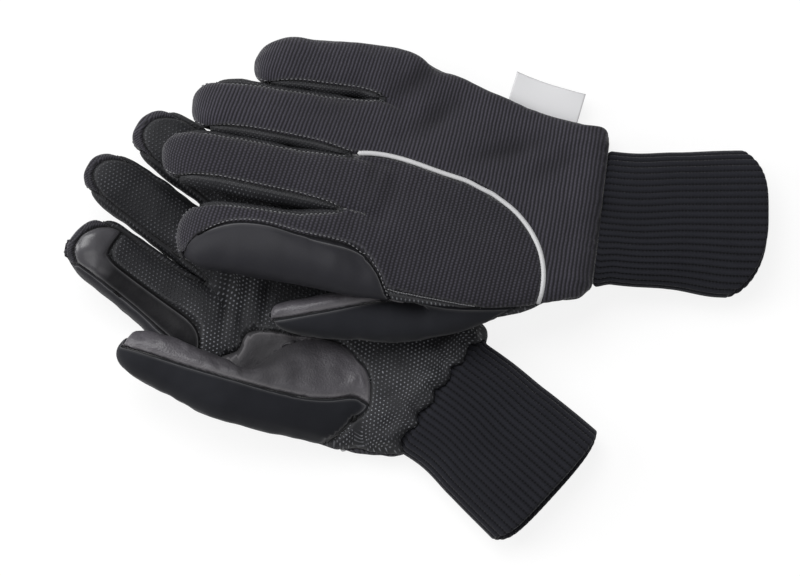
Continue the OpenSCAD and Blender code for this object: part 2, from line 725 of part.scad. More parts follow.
module lining_bag(glove) {
  color([0.16, 0.16, 0.17]) inner_bag(glove, fleece_depth);
}

// Doubled rib knit: one tube with a soft rolled edge at the open end
module cuff(glove) {
  color(knit)
    sewn(glove, [[
      [for (share = cuff_rows) cuff_ring(glove, share, share == 1 ? cuff_wall / 3 : 0)],
      [for (share = cuff_rows)
        cuff_ring(glove, share, share == 1 ? cuff_wall * 2 / 3 : cuff_depth(share))],
      -1, [true, true, false, false]
    ]]);
}

// Bare folded tab that hangs out of the little finger's side seam
module label_tab(glove) {
  v_from = label_start / slot_a[4];
  v_to = (label_start + label_length) / slot_a[4];
  root = [for (v = [v_from, (v_from + v_to) / 2, v_to]) hand_at(glove, -1, v, 1, 0)];
  color([0.9, 0.9, 0.9])
    sewn(glove, [[
      [for (out = [label_clear, label_reach]) [for (p = root)
        laid(glove, [p[0], p[1] - out, label_thickness / 2 - label_droop * out], 0)]],
      [for (out = [label_clear, label_reach]) [for (p = root)
        laid(glove, [p[0], p[1] - out, -label_thickness / 2 - label_droop * out], 0)]],
      -1, [true, true, true, true]
    ]]);
}

module right_back_outer_panel() { back_outer_panel(right); }
module right_back_inner_panel() { back_inner_panel(right); }
module right_reflective_piping() { reflective_piping(right); }
module right_palm_panel() { palm_panel(right); }
module right_fourchette_index_middle() { fourchette(right, index); }
module right_fourchette_middle_ring() { fourchette(right, middle); }
module right_fourchette_ring_little() { fourchette(right, ring); }
module right_index_side_panel() { index_side_panel(right); }
module right_index_fingertip() { index_fingertip(right); }
module right_thumb_back() { thumb_back(right); }
module right_thumb_palm() { thumb_palm(right); }
module right_wadding() { wadding_bag(right); }
module right_lining() { lining_bag(right); }
module right_cuff() { cuff(right); }
module right_label_tab() { label_tab(right); }
module left_back_outer_panel() { back_outer_panel(left); }
module left_back_inner_panel() { back_inner_panel(left); }
module left_reflective_piping() { reflective_piping(left); }
module left_palm_panel() { palm_panel(left); }
module left_fourchette_index_middle() { fourchette(left, index); }
module left_fourchette_middle_ring() { fourchette(left, middle); }
module left_fourchette_ring_little() { fourchette(left, ring); }
module left_index_side_panel() { index_side_panel(left); }
module left_index_fingertip() { index_fingertip(left); }
module left_thumb_back() { thumb_back(left); }
module left_thumb_palm() { thumb_palm(left); }
module left_wadding() { wadding_bag(left); }
module left_lining() { lining_bag(left); }
module left_cuff() { cuff(left); }

right_back_outer_panel();
right_back_inner_panel();
right_reflective_piping();
right_palm_panel();
right_fourchette_index_middle();
right_fourchette_middle_ring();
right_fourchette_ring_little();
right_index_side_panel();
right_index_fingertip();
right_thumb_back();
right_thumb_palm();
right_wadding();
right_lining();
right_cuff();
right_label_tab();
left_back_outer_panel();
left_back_inner_panel();
left_reflective_piping();
left_palm_panel();
left_fourchette_index_middle();
left_fourchette_middle_ring();
left_fourchette_ring_little();
left_index_side_panel();
left_index_fingertip();
left_thumb_back();
left_thumb_palm();
left_wadding();
left_lining();
left_cuff();
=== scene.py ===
import bpy
import numpy as np
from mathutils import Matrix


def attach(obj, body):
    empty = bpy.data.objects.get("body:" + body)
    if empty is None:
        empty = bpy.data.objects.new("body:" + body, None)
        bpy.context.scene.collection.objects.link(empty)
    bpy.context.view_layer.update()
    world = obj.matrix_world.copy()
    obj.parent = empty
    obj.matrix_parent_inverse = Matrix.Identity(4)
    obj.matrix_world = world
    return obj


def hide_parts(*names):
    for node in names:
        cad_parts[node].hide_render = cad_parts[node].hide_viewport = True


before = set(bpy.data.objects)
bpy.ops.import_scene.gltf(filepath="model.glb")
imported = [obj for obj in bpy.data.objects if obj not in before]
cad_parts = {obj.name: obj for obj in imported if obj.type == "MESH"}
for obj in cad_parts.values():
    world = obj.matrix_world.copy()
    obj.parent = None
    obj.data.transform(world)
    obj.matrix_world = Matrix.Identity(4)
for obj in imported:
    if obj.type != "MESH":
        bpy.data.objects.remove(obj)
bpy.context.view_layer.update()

# Lining bags: brushed fleece next to the hand, one bag in each glove, sewn in at the wrist seam.
# Every layer of a glove has the same form, taken at its own depth under the outer face, so the form
# of hand, fingers and thumb is worked out here.

# Sizes in millimetres on the glove's own axes: a from the wrist seam to the fingertips, b to the thumb
# side, c to the back of the hand. Where there are two values, the right glove's is first.
RIGHT, LEFT = 0, 1
NAMES = ("right", "left")
INDEX, MIDDLE, RING, LITTLE = range(4)
MM = 0.001

finger_width = (38, 28, 31, 28)
finger_length = ((79.5, 87.5, 82, 68.6), (71.6, 82.2, 79.8, 70))
half_finger = 11.5
half_width = 62.5
knuckle_offset = -6
slot_b = np.array([56.5, 18.5, -9.5, -40.5, -68.5])
slot_a = np.array([112.0, 118, 118, 105, 92])
finger_a, finger_b = (slot_a[:-1] + slot_a[1:]) / 2, (slot_b[:-1] + slot_b[1:]) / 2
hand_length = 118
lean = np.radians([(-3, -4.6, -1.6, 2.2), (1, 1.2, 0.3, 2)])
near_trim = ((0, -3, -1, 0), (5, 0, 0, 0))
far_trim = ((3, 0, 0, -0.9), (0, 0, 0, 0))
tip_skew, tip_power, finger_taper = 1.8, 2.5, (0.1, 0.04)
rim_share, rim_power, leaf_end, wall_end = 0.85, 2.2, (0.958, 0.86), 0.9
curl = np.radians([(15, 10, 5, 4), (38, 32, 16, 10)])
knuckle_power, finger_power, hand_power = 5, 2.5, 2.6
wall_angle, far_angle, tip_start = 36, 144, 0.72
hem_width, wrist_width, wrist_shift = (82, 76), (61, 65), (2.5, 0)
hem_trim, hem_drop = (1, 3), (1.5, 0)
half_cuff, back_height, palm_height = 12, 14, 10.5
hem_share, hem_rise = 0.07, 2.2
knuckle_trim, knuckle_at, knuckle_run = 3.0, 85, 13
thumb_edge_power, little_edge_power = 2.2, 1.9
turn_of = np.radians((6.5, 36))
wrist_at = ((88.2, 35.2), (15.7, -50.3))
sway = (0, 3.5)
left_mid, mid_low, mid_high, slope_width = 11, 12.3, 54, 105
inset_mid, inset_half, inset_depth = 0.45, 0.3, 0.85
inset_start, inset_end = inset_mid - inset_half, inset_mid + inset_half
thumb_start, thumb_side, thumb_drop = 80, (61, 56), (16.5, 20.5)
thumb_long, thumb_half, thumb_high = (68.5, 55.5), (11.5, 13.2), (9, 9.4)
thumb_turn, thumb_blend = np.radians((6, 11)), 26
thumb_slim, thumb_swell, thumb_pinch = (0, 0.13), (0, 1.0), (0.2, 0.13)
thumb_taper, thumb_round = (0.45, 0.6), (1.75, 2.4)
# where the leather lobe ends: inner edge by a, front and wrist-side edge by b; seam of the thumb by a
lobe_inner = np.array([
    (20, 34), (25.2, 25), (26.5, 22.5), (31.8, 14.5), (35.5, 11.4), (41.5, 9.5), (53, 7.2), (65, 11.5),
    (71, 14.8), (83.5, 20.9), (89, 24.2), (94, 29), (110, 50)])
lobe_front = np.array([
    (0, 80), (20, 94), (28, 93), (32, 91), (36, 89.5), (40, 91.5), (44, 95), (50, 97), (60, 97)])
thumb_base = np.array([
    (0, 25), (22, 25.2), (28.5, 24.8), (35, 24.8), (39.5, 25.6), (45, 28), (49.8, 31.4), (54, 36.5), (60, 46),
    (70, 52)])
thumb_seam = np.array([
    (15, 17), (27.5, 25.2), (45.3, 37.1), (62.9, 44.8), (88.2, 53.8), (115.8, 62.8), (132.3, 67.8), (145, 71),
    (160, 74)])
# borders of the leaf panel, the palm cloth and the leather band, and the line of the piping
leaf_palm, leaf_share = 50, 0.836
leaf_finger = np.array([
    (0, 90.3), (0.143, 92), (0.291, 97.5), (0.461, 105), (0.642, 103.5), (0.734, 97.5), (0.847, 88),
    (0.912, 72), (0.935, 50), (0.947, 25), (0.96, 3), (1, 2)])
leaf_hand = np.array([(0.836, 1), (0.843, 0.952), (0.863, 0.842), (0.895, 0.747), (0.935, 0.694), (1, 0.659)])
palm_edge = np.array([(0.44, 1), (0.531, 0.985), (0.614, 0.967), (0.739, 0.95), (0.84, 0.942)])
band_edge = 90
band_lobe = np.array([(100, 60), (104.8, 44.8), (109.4, 40), (116.8, 37.7), (125, 37.4)])
pipe_across = np.array([
    (-0.05, 0.5065), (0.011, 0.4324), (0.102, 0.3553), (0.21, 0.3002), (0.33, 0.2582), (0.461, 0.2281),
    (0.568, 0.2131), (0.696, 0.2031), (0.821, 0.2011), (0.922, 0.2051), (1, 0.217)])
pipe_along = np.array([(0.5065, -0.05), (0.5835, -0.08), (0.6596, -0.096), (0.7367, -0.117), (0.835, -0.132),
                       (0.929, -0.114), (1, -0.076)])

OUTER, INNER, PALM, FORK, SIDE, TIP, THUMB_BACK, THUMB_PALM = 0, 1, 2, 3, 6, 7, 8, 9


def smooth(t):
    """Smoothstep of t held between 0 and 1."""
    u = np.clip(t, 0, 1)
    return u * u * (3 - 2 * u)


def mix(p, q, t):
    """The point t of the way from p to q."""
    return p + (q - p) * t


def stacked(*parts):
    """Arrays spread to one shape and put side by side on a last axis."""
    return np.stack(np.broadcast_arrays(*parts), -1)


def unit(ways):
    """Directions at unit length."""
    return ways / np.maximum(np.linalg.norm(ways, axis=1, keepdims=True), 1e-12)


def round_x(t, p):
    """Sideways share of a superellipse of power p at the angle t."""
    return np.sign(np.cos(t)) * np.abs(np.cos(t)) ** (2 / p)


def round_z(t, p):
    """Upward share of a superellipse of power p at the angle t."""
    return np.sign(np.sin(t)) * np.abs(np.sin(t)) ** (2 / p)


def arched(x, p):
    """Height of a superellipse of power p at the sideways share x."""
    return np.maximum(0, 1 - np.abs(x) ** p - 1e-9) ** (1 / p)


def through(points, at):
    """Cubic curve through the points, with the slope of the points' own differences."""
    x, y = points.T
    slope = np.gradient(y, x)
    k = np.clip(np.searchsorted(x, at) - 1, 0, len(x) - 2)
    h = x[k + 1] - x[k]
    f = np.clip((at - x[k]) / h, 0, 1)
    g = 1 - f
    return (g * g * (1 + 2 * f) * y[k] + f * f * (1 + 2 * g) * y[k + 1]
            + f * g * h * (g * slope[k] - f * slope[k + 1]))


def laid(glove, q, depth):
    """From a glove's axes to the pair: turned in plan, and raised to the glove's mid plane. The right
    glove's mid plane climbs over the left glove's outer edge; nothing lies lower than the floor."""
    turn, at = turn_of[glove], wrist_at[glove]
    b = q[..., 1] + sway[glove] * smooth(q[..., 0] / hand_length)
    hollow = np.exp(-((q[..., 0] - knuckle_at) / knuckle_run) ** 2)
    b = b + knuckle_trim * hollow * smooth((-q[..., 1] - 45) / 20)
    x = at[0] - q[..., 0] * np.cos(turn) - b * np.sin(turn)
    y = at[1] + q[..., 0] * np.sin(turn) - b * np.cos(turn)
    if glove == LEFT:
        z = left_mid - q[..., 2]
    else:
        edge = turn_of[LEFT]
        across = -np.sin(edge) * (x - wrist_at[LEFT][0]) - np.cos(edge) * (y - wrist_at[LEFT][1])
        t = np.clip(0.5 + (across + half_width) / slope_width, 0, 1)
        z = mix(mid_low, mid_high, (t + smooth(t)) / 2) + q[..., 2]
    return np.stack([x, y, np.maximum(depth, z)], -1)


def free_side(i, side):
    """Whether a place at this side of finger i is on the glove's outer edge, not at a slot."""
    return (i == INDEX) & (side > 0) | (i == LITTLE) & (side < 0)


def finger_at(glove, i, s, t, depth):
    """Finger i as a row of superellipses: narrowing along s, closing to a round tip, and bent to the
    palm side along an arc. Gives the place and the unrolled place: along, across, height, and the way
    that cloth wrapped down over the tip has gone."""
    p = np.where(free_side(i, np.cos(t)), finger_power, mix(knuckle_power, finger_power, smooth(s / 0.3)))
    tip = np.maximum(0, (s - tip_start) / (1 - tip_start))
    trim = (near_trim[glove][i] * np.maximum(0, np.cos(t))
            + far_trim[glove][i] * np.maximum(0, -np.cos(t)) ** 0.4)
    wide = finger_width[i] / 2 - depth - trim * smooth(s / 0.4)
    wide = wide * (1 - finger_taper[0] * s - finger_taper[1] * s ** 3) * arched(tip, tip_power)
    high = (half_finger - depth) * (1 - 0.08 * s) * arched(tip, 2.1)
    along = finger_length[glove][i] * s - depth
    radius = finger_length[glove][i] / curl[glove][i]
    bent = curl[glove][i] * np.maximum(0, along) / finger_length[glove][i]
    base = round_x(t, p) * (finger_width[i] / 2 - depth) / (finger_width[i] / 2)
    slant = (slot_a[i] - slot_a[i + 1]) / 2 * base * (1 - smooth(s / 0.4))
    reach = radius * np.sin(bent)
    a = finger_a[i] + np.minimum(0, along) + reach * np.cos(lean[glove][i]) + slant
    b = finger_b[i] + reach * np.sin(lean[glove][i]) + round_x(t, p) * wide + tip_skew * tip ** 1.5
    height = round_z(t, p) * high
    own = stacked(finger_a[i] + slant + along, finger_b[i] + round_x(t, p) * wide, height,
                  tip ** 2 * (half_finger - height))
    return stacked(a, b, height - radius * (1 - np.cos(bent))), own


def hand_at(glove, x, v, side, depth):
    """Hand as an arched sleeve from the wrist seam, v 0, to the knuckle line, v 1, where the arch
    passes over into the row of finger sections. x runs across from -1 to 1."""
    roll = 1 - np.sqrt(1 - (1 - np.minimum(1, v / hem_share)) ** 2)
    hem = hem_width[glove] / 2
    half = mix(hem, half_width, np.where(x > 0, 1 - (1 - v) ** thumb_edge_power, v ** little_edge_power))
    half = half - (hem - wrist_width[glove] / 2) * roll
    half = half - hem_trim[glove] * (x > 0) * (1 - smooth((v - 0.04) / 0.22)) * (1 - roll)
    full = back_height if side > 0 else palm_height
    high = mix(half_cuff + hem_rise, full, smooth(v / 0.4)) - hem_rise * roll
    edge_b = knuckle_offset + (half_width - depth) * x
    i = (edge_b <= slot_b[1]) * 1 + (edge_b <= slot_b[2]) + (edge_b <= slot_b[3])
    wide = np.array(finger_width)[i] / 2 - depth
    raw = (edge_b - finger_b[i]) / wide
    wall = round_x(np.radians(wall_angle), knuckle_power)
    raw = np.clip(raw, np.where(i == LITTLE, -1, -wall), np.where(i == INDEX, 1, wall))
    knuckle = (half_finger - depth) * arched(raw, np.where(free_side(i, raw), finger_power, knuckle_power))
    arch = (high - depth) * arched(x, hand_power)
    a = v * (np.interp(edge_b, slot_b[::-1], slot_a[::-1]) - depth)
    a = a - hem_drop[glove] * smooth((-x - 0.4) / 0.4) * (1 - smooth(v / 0.14)) * (1 - roll)
    b = knuckle_offset * v * v + wrist_shift[glove] * roll + (half - depth) * x
    c = side * mix(arch, knuckle, smooth((v - 0.7) / 0.3))
    return stacked(a, b, c)


def crowded(n, low, high):
    """n steps from low to high, closer together at both ends, where the seams are."""
    f = np.linspace(0, 1, n + 1)
    f = mix(f, (1 - np.cos(np.pi * f)) / 2, 0.55)
    return mix(low, high, f)


def column_x(i, t, depth):
    """Sideways share on the knuckle line of the column at the angle t, in degrees, round finger i."""
    r = np.radians(t)
    out = round_x(r, np.where(free_side(i, np.cos(r)), finger_power, knuckle_power))
    return (finger_b[i] - knuckle_offset + (finger_width[i] / 2 - depth) * out) / (half_width - depth)


def across(v, x_from, x_to, knuckles):
    """Columns between two limits: spaced round the arch at the wrist, passing over into the spacing of
    the finger columns at the knuckle line."""
    even = mix(x_to, x_from, (round_x(np.pi * np.linspace(0, 1, len(knuckles)), hand_power) + 1) / 2)
    moved = mix(x_to, x_from, (knuckles - knuckles[-1]) / (knuckles[0] - knuckles[-1]))
    return mix(even, moved, smooth((v - 0.6) / 0.4))


def glove_skin(glove, depth, fine):
    """Whole skin of one glove at a depth under the outer face: back, palm, four finger tubes, the webs
    between them and the thumb, as grids that share their borders. fine scales the number of steps.
    Gives points, unrolled places, triangles, the panel each belongs to, and the grids' point numbers."""
    def steps(n):
        return max(2, int(round(n * fine)))
    grids, owns, labels, turns, names = [], [], [], [], []

    def add(name, points, own, label, turn):
        wrapped = own if own.shape[-1] == 4 else np.concatenate([own, 0 * own[..., :1]], -1)
        grids.append(points); owns.append(wrapped); names.append(name); turns.append(turn)
        labels.append(np.broadcast_to(label, (points.shape[0] - 1, points.shape[1] - 1)))

    n_leaf, n_index, n_back, n_wall, n_front, n_band, n_side, n_end = (
        steps(n) for n in (12, 16, 26, 9, 12, 12, 9, 32))
    m = steps(64)
    if depth == 0:
        low_rows = np.concatenate([np.linspace(0, hem_share, steps(8))[:-1],
                                   np.linspace(hem_share, inset_start, steps(11))[:-1]])
    else:
        low_rows = np.linspace(0.1, inset_start, steps(6))[:-1]
    inset_turn = np.linspace(0, np.pi, m + 1)
    inset_rows = inset_mid - inset_half * mix(1 - 2 * inset_turn / np.pi, np.cos(inset_turn), 0.5)
    inset_rows = np.unique(np.concatenate([inset_rows, np.linspace(0.1835, 0.2515, steps(18))]))
    apart = np.concatenate([[True], np.diff(inset_rows) > 0.0022])
    apart[-1] = True
    inset_rows = inset_rows[apart]
    first_inset, m = len(low_rows), len(inset_rows) - 1
    rows = np.concatenate([low_rows, inset_rows[:-1], np.linspace(inset_end, leaf_share, steps(5))[:-1],
                           np.linspace(leaf_share, 1, steps(22))])[:, None]

    # back of the hand: leaf panel, edge of the palm, inner and outer panel, by where each cell lies
    leaf_cols = crowded(n_leaf, 0, leaf_finger[0, 1])
    w = np.clip((rows - leaf_share) / (1 - leaf_share), 0, 1)
    between = crowded(n_back, wall_angle, far_angle)
    to_end = crowded(n_end, wall_angle, 180)
    inner_cols = np.concatenate([column_x(INDEX, crowded(n_index, leaf_finger[0, 1], far_angle), depth),
                                 column_x(MIDDLE, between, depth)])
    outer_cols = np.concatenate([column_x(RING, between, depth), column_x(LITTLE, to_end, depth)])

    def pipe_at(v):
        return mix(through(pipe_along, v), outer_cols[0], smooth((v - 0.93) / 0.07))
    back_cols = np.concatenate([column_x(INDEX, leaf_cols, depth)[:-1], inner_cols, outer_cols])
    back_x = across(rows, 1.0, -1.0, back_cols)
    split = back_x[:, n_leaf + len(inner_cols), None]
    drawn = np.where(back_x > split, 1 - (1 - back_x) * (1 - pipe_at(rows)) / (1 - split),
                     (back_x + 1) * (pipe_at(rows) + 1) / (split + 1) - 1)
    back_x = mix(back_x, drawn, smooth((rows - 0.45) / 0.15))
    back = hand_at(glove, back_x, rows, 1, depth)
    mid_v = (rows[:-1] + rows[1:]) / 2
    mid_x = (back_x[:-1, :-1] + back_x[:-1, 1:] + back_x[1:, :-1] + back_x[1:, 1:]) / 4
    above = (mid_x > pipe_along[0, 1]) & (mid_v > through(pipe_across, mid_x))
    label = np.where(np.where(mid_v > pipe_along[0, 0], mid_x > pipe_at(mid_v), above), INNER, OUTER)
    label = np.where(mid_x > through(palm_edge, mid_v), PALM, label)
    label = np.where((mid_v > leaf_share) & (mid_x > through(leaf_hand, mid_v)), SIDE, label)
    add("back", back, back, label, 1)

    # palm: side panel, leather band with its round lobe, grip fabric, open where the thumb is let in
    side_cols = crowded(n_side, 0, leaf_palm)
    side_x = mix(1 - 0.015 * np.linspace(0, 1, n_side + 1) * (rows >= leaf_share),
                 column_x(INDEX, side_cols, depth), w)
    turn = np.arccos(np.clip((inset_mid - rows) / inset_half, -1, 1))
    inside = (rows >= inset_start) & (rows <= inset_end)
    side_x = np.where(inside, 1 - inset_depth * np.sin(turn) ** 2, side_x)
    palm_cols = np.concatenate([
        column_x(INDEX, crowded(n_band, leaf_palm, band_edge), depth),
        column_x(INDEX, crowded(n_front, band_edge, far_angle), depth)[1:],
        column_x(MIDDLE, between, depth), column_x(RING, between, depth), column_x(LITTLE, to_end, depth)])
    palm_x = np.concatenate([side_x[:, :-1], across(rows, side_x[:, -1:], -1.0, palm_cols)], 1)
    palm = hand_at(glove, palm_x, rows, -1, depth)
    columns = np.arange(palm_x.shape[1] - 1)
    cell = (palm[:-1, :-1] + palm[1:, 1:]) / 2
    cell_a, cell_b = cell[..., 0], cell[..., 1]
    lobe = (cell_a > band_lobe[0, 0]) & (cell_b > through(band_lobe, cell_a))
    label = np.where(columns < n_side, SIDE, np.where(lobe & (columns < n_side + n_band), TIP, PALM))
    let_in = (cell_b > through(lobe_inner, cell_a)) & (cell_a < through(lobe_front, cell_b))
    let_in &= (mid_v > inset_mid) | (cell_a > through(thumb_base, cell_b))
    set_in = np.where(cell_b < through(thumb_seam, cell_a), THUMB_PALM, THUMB_BACK)
    label = np.where((label == PALM) & let_in, np.where(mid_v > inset_mid, THUMB_PALM, set_in), label)
    add("palm", palm, palm, label, -1)

    # finger tubes, with the panels as bands round them
    grow = np.linspace(0, 1, steps(18))[1:]
    rings = []
    for i in range(4):
        s = np.concatenate([np.linspace(0, tip_start, steps(0.56 * finger_length[glove][i])),
                            tip_start + (1 - tip_start) * np.sin(grow * np.pi / 2)])[:, None]
        wall = wall_angle * (1 - 0.7 * smooth((s - 0.8) / 0.2))
        close = np.sqrt(np.maximum(0, 1 - np.maximum(0, (s - 0.76) / 0.17) ** 2)) * 0.98 + 0.02
        leaf = through(leaf_finger, s)
        back_of = INNER if i < RING else OUTER
        shown = wall + 13 * smooth(s / 0.1) * (1 - smooth((s - 0.75) / 0.25))
        near_wall = (n_wall, 360 - wall, 360 + shown, FORK + i - 1)
        far_wall = (n_wall, 180 - wall, 180 + wall, FORK + i)
        if i == INDEX:
            bands = [(n_leaf, 0 * s, leaf, SIDE), (n_index, leaf, 180 - wall, INNER), far_wall,
                     (n_front, 180 + wall, 360 - band_edge + 0 * s, PALM),
                     (n_band, 360 - band_edge + 0 * s, 360 - leaf_palm * close, TIP),
                     (n_side, 360 - leaf_palm * close, 360 + 0 * s, SIDE)]
        elif i == LITTLE:
            bands = [(n_end, shown, 180 + 0 * s, OUTER), (n_end, 180 + 0 * s, 360 - wall, PALM),
                     near_wall]
        else:
            bands = [(n_back, shown, 180 - wall, back_of), far_wall,
                     (n_back, 180 + wall, 360 - wall, PALM), near_wall]
        t = np.concatenate([mix(low, high, crowded(n, 0, 1)[None, :-1]) for n, low, high, _ in bands]
                           + [bands[-1][2]], 1)
        label = np.concatenate([np.full(n, k) for n, _, _, k in bands])[None, :].repeat(len(s) - 1, 0)
        mid_s = (s[:-1] + s[1:]) / 2
        label = np.where((mid_s > tip_start) & (label == PALM) & (i == INDEX), TIP, label)
        mid_t = np.radians(t[:-1, :-1] + t[1:, 1:]) / 2
        mid_tip = np.maximum(0, (mid_s - tip_start) / (1 - tip_start))
        # a rim of back cloth folds over round the tip, in a U seen from the palm
        out = np.abs(np.cos(mid_t)) ** 0.8 * arched(mid_tip, tip_power)
        rim = out ** rim_power + mid_tip ** rim_power > rim_share ** rim_power
        front = (label == PALM) | (label == TIP)
        label = np.where(rim & (mid_s > tip_start + 0.05) & front, back_of, label)
        on_back = np.arange(label.shape[1]) < n_leaf + n_index + n_wall
        label = np.where((mid_s > np.where(on_back, *leaf_end)) & (label == SIDE), back_of, label)
        label = np.where((mid_s > wall_end) & (label >= FORK) & (label < SIDE), back_of, label)
        place, own = finger_at(glove, i, s, np.radians(t), depth)
        add(f"finger{i}", place, own, label, 1)
        starts = np.cumsum([0] + [n for n, _, _, _ in bands])
        rings.append((place, own, starts))
    for i in range(3):
        place, own, starts = rings[i]
        at = starts[2] if i == INDEX else starts[1]
        next_place, next_own, next_starts = rings[i + 1]
        cut, next_cut = slice(at, at + n_wall + 1), slice(next_starts[-2], next_starts[-1] + 1)
        add(f"web{i}", np.stack([place[0, cut], next_place[0, next_cut][::-1]]),
            np.stack([own[0, cut], next_own[0, next_cut][::-1]]), FORK + i, -1)

    # thumb: a tube that grows out of the inset's rim, round in section, with a closed round tip
    v = rows[first_inset:first_inset + m + 1, 0]
    share = np.linspace(0, 1, 400)
    rim_turn = np.arccos(np.clip((inset_mid - v) / inset_half, -1, 1))
    station = np.interp(rim_turn, np.radians(90 * share + 45 * (1 - np.cos(np.pi * share))), share)
    rim_x = np.concatenate([1 - inset_depth * np.sin(rim_turn) ** 2, np.ones(m)])
    rim_v = np.concatenate([v, v[:-1][::-1]])
    around = np.pi * (np.concatenate([station, 2 - station[:-1][::-1]]) - 1 / 3)
    rim = hand_at(glove, rim_x[None, :], rim_v[None, :], -1, depth)[0]
    u = np.concatenate([np.linspace(0, 0.6, steps(30)), 0.6 + 0.4 * np.sin(grow * np.pi / 2)])[:, None]
    tip = np.maximum(0, (u - thumb_taper[glove]) / (1 - thumb_taper[glove]))
    outer = round_z(around, finger_power) < 0
    wide = (thumb_half[glove] - depth) * arched(tip, thumb_round[glove])
    wide = wide * (1 - np.where(outer, thumb_slim[glove], thumb_pinch[glove]) * smooth((u - 0.35) / 0.5))
    wide = wide + thumb_swell[glove] * outer * (1 - smooth(u / 0.5))
    high = (thumb_high[glove] - depth) * arched(tip, 2.2)
    reach = thumb_long[glove] * u - depth
    ahead = np.array([np.cos(thumb_turn[glove]), np.sin(thumb_turn[glove]), 0])
    tube = stacked(thumb_start + reach * ahead[0],
                   thumb_side[glove] + reach * ahead[1] - wide * round_z(around, finger_power),
                   -thumb_drop[glove] - high * round_x(around, finger_power))
    f = np.linspace(0, 1, steps(26))[:-1, None, None]
    leave = 0.8 * (tube[0] - rim)
    g = 1 - f
    root = (g * g * (1 + 2 * f) * rim + f * f * (1 + 2 * g) * tube[0]
            + f * g * (g * leave - f * thumb_blend * ahead))
    thumb = np.concatenate([root, tube])
    cell = (thumb[:-1, :-1] + thumb[1:, 1:]) / 2
    inner = cell[..., 1] < through(thumb_seam, cell[..., 0])
    label = np.where(inner & (np.arange(len(cell)) < len(cell) - 3)[:, None], THUMB_PALM, THUMB_BACK)
    label = np.where(cell[..., 0] < through(thumb_base, cell[..., 1]), PALM, label)
    add("thumb", thumb, thumb, label, -1)

    places = np.concatenate([laid(glove, p, depth).reshape(-1, 3) for p in grids])
    own = np.concatenate([o.reshape(-1, 4) for o in owns])
    _, first, ids = np.unique(np.round(places, 3) + 0.0, axis=0, return_index=True, return_inverse=True)
    ids = ids.ravel()
    tris, panel, numbers, start = [], [], {}, 0
    for name, points, label, turn in zip(names, grids, labels, turns):
        k = ids[start:start + points.shape[0] * points.shape[1]].reshape(points.shape[:2])
        start += k.size
        numbers[name] = k
        a, b, d, e = (q.ravel() for q in (k[:-1, :-1], k[:-1, 1:], k[1:, :-1], k[1:, 1:]))
        both = np.stack([a, b, e, a, e, d], 1).reshape(-1, 3)
        tris.append(both if (turn > 0) == (glove == RIGHT) else both[:, ::-1])
        panel.append(np.repeat(label.ravel(), 2))
    tris, panel = np.concatenate(tris), np.concatenate(panel)
    whole = (tris[:, 0] != tris[:, 1]) & (tris[:, 1] != tris[:, 2]) & (tris[:, 2] != tris[:, 0])
    return dict(points=places[first], own=own[first], tris=tris[whole], panel=panel[whole], grids=numbers)


def summed(ids, ways, n):
    """Sum of the directions given for each of n points."""
    return np.stack([np.bincount(ids, ways[:, k], n) for k in range(3)], 1)


def normals_of(points, tris):
    """Point normals: the sum of the triangles' cross products round each point, at unit length."""
    cross = np.cross(points[tris[:, 1]] - points[tris[:, 0]], points[tris[:, 2]] - points[tris[:, 0]])
    return unit(summed(tris.ravel(), np.repeat(cross, 3, 0), len(points)))


def meaned(points, one, two):
    """Mean place of each point's neighbours: over the pairs, the places of two summed for one."""
    count = np.maximum(np.bincount(one, minlength=len(points)), 1)[:, None]
    return summed(one, points[two], len(points)) / count


def relaxed(points, tris, rounds, push=-0.52, free=1.0):
    """Points eased along their normals towards their neighbours' mean, and pushed back by the same
    rule, so that kinks go and the size stays."""
    one, two = tris.ravel(), tris[:, [1, 2, 0]].ravel()
    for step in (0.5, push) * rounds:
        normal = normals_of(points, tris)
        way = ((meaned(points, one, two) - points) * normal).sum(1)
        points = points + (step * free * way)[:, None] * normal
    return points


def put_mesh(name, points, faces, uv=None, **values):
    """A mesh object from points in millimetres, with its cloth map in metres and values per point."""
    mesh = bpy.data.meshes.new(name)
    mesh.from_pydata((points * MM).tolist(), [], faces.tolist())
    mesh.polygons.foreach_set("use_smooth", np.ones(len(mesh.polygons), bool))
    if uv is not None:
        corner = np.zeros(len(mesh.loops), np.int32)
        mesh.loops.foreach_get("vertex_index", corner)
        layer = mesh.uv_layers.new(name="cloth")
        layer.data.foreach_set("uv", (uv[corner] * MM).astype(np.float32).ravel())
    for key, value in values.items():
        mesh.attributes.new(key, "FLOAT", "POINT").data.foreach_set("value", value.astype(np.float32))
    mesh.update()
    piece = bpy.data.objects.new(name, mesh)
    bpy.context.scene.collection.objects.link(piece)
    return piece


def wall_of(piece, thickness):
    """Gives a sheet its thickness, inwards from the face it was made on."""
    solid = piece.modifiers.new("wall", "SOLIDIFY")
    solid.thickness, solid.offset = thickness * MM, -1
    solid.use_even_offset = False


def dress(glove, piece, material, replaced):
    """Gives a piece its finish, hangs it on its glove's body and hides the part of the model that it
    replaces.
    """
    piece.data.materials.append(material)
    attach(piece, f"{NAMES[glove]}_glove")
    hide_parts(f"{NAMES[glove]}_{replaced}")


def new_group(name, inputs, outputs):
    """An empty shader node group. Inputs are given by their first value: a number, a colour, or None for
    a place. Gives its tree, the inputs' sockets and its end."""
    tree = bpy.data.node_groups.new(name, "ShaderNodeTree")
    kinds = {float: "Float", tuple: "Color", type(None): "Vector"}
    for label, value in inputs.items():
        kind = "NodeSocket" + kinds[type(value)]
        socket = tree.interface.new_socket(label, in_out="INPUT", socket_type=kind)
        if value is not None:
            socket.default_value = value
    for label in outputs:
        kind = "NodeSocketColor" if label == "Colour" else "NodeSocketFloat"
        tree.interface.new_socket(label, in_out="OUTPUT", socket_type=kind)
    return tree, tree.nodes.new("NodeGroupInput").outputs, tree.nodes.new("NodeGroupOutput")


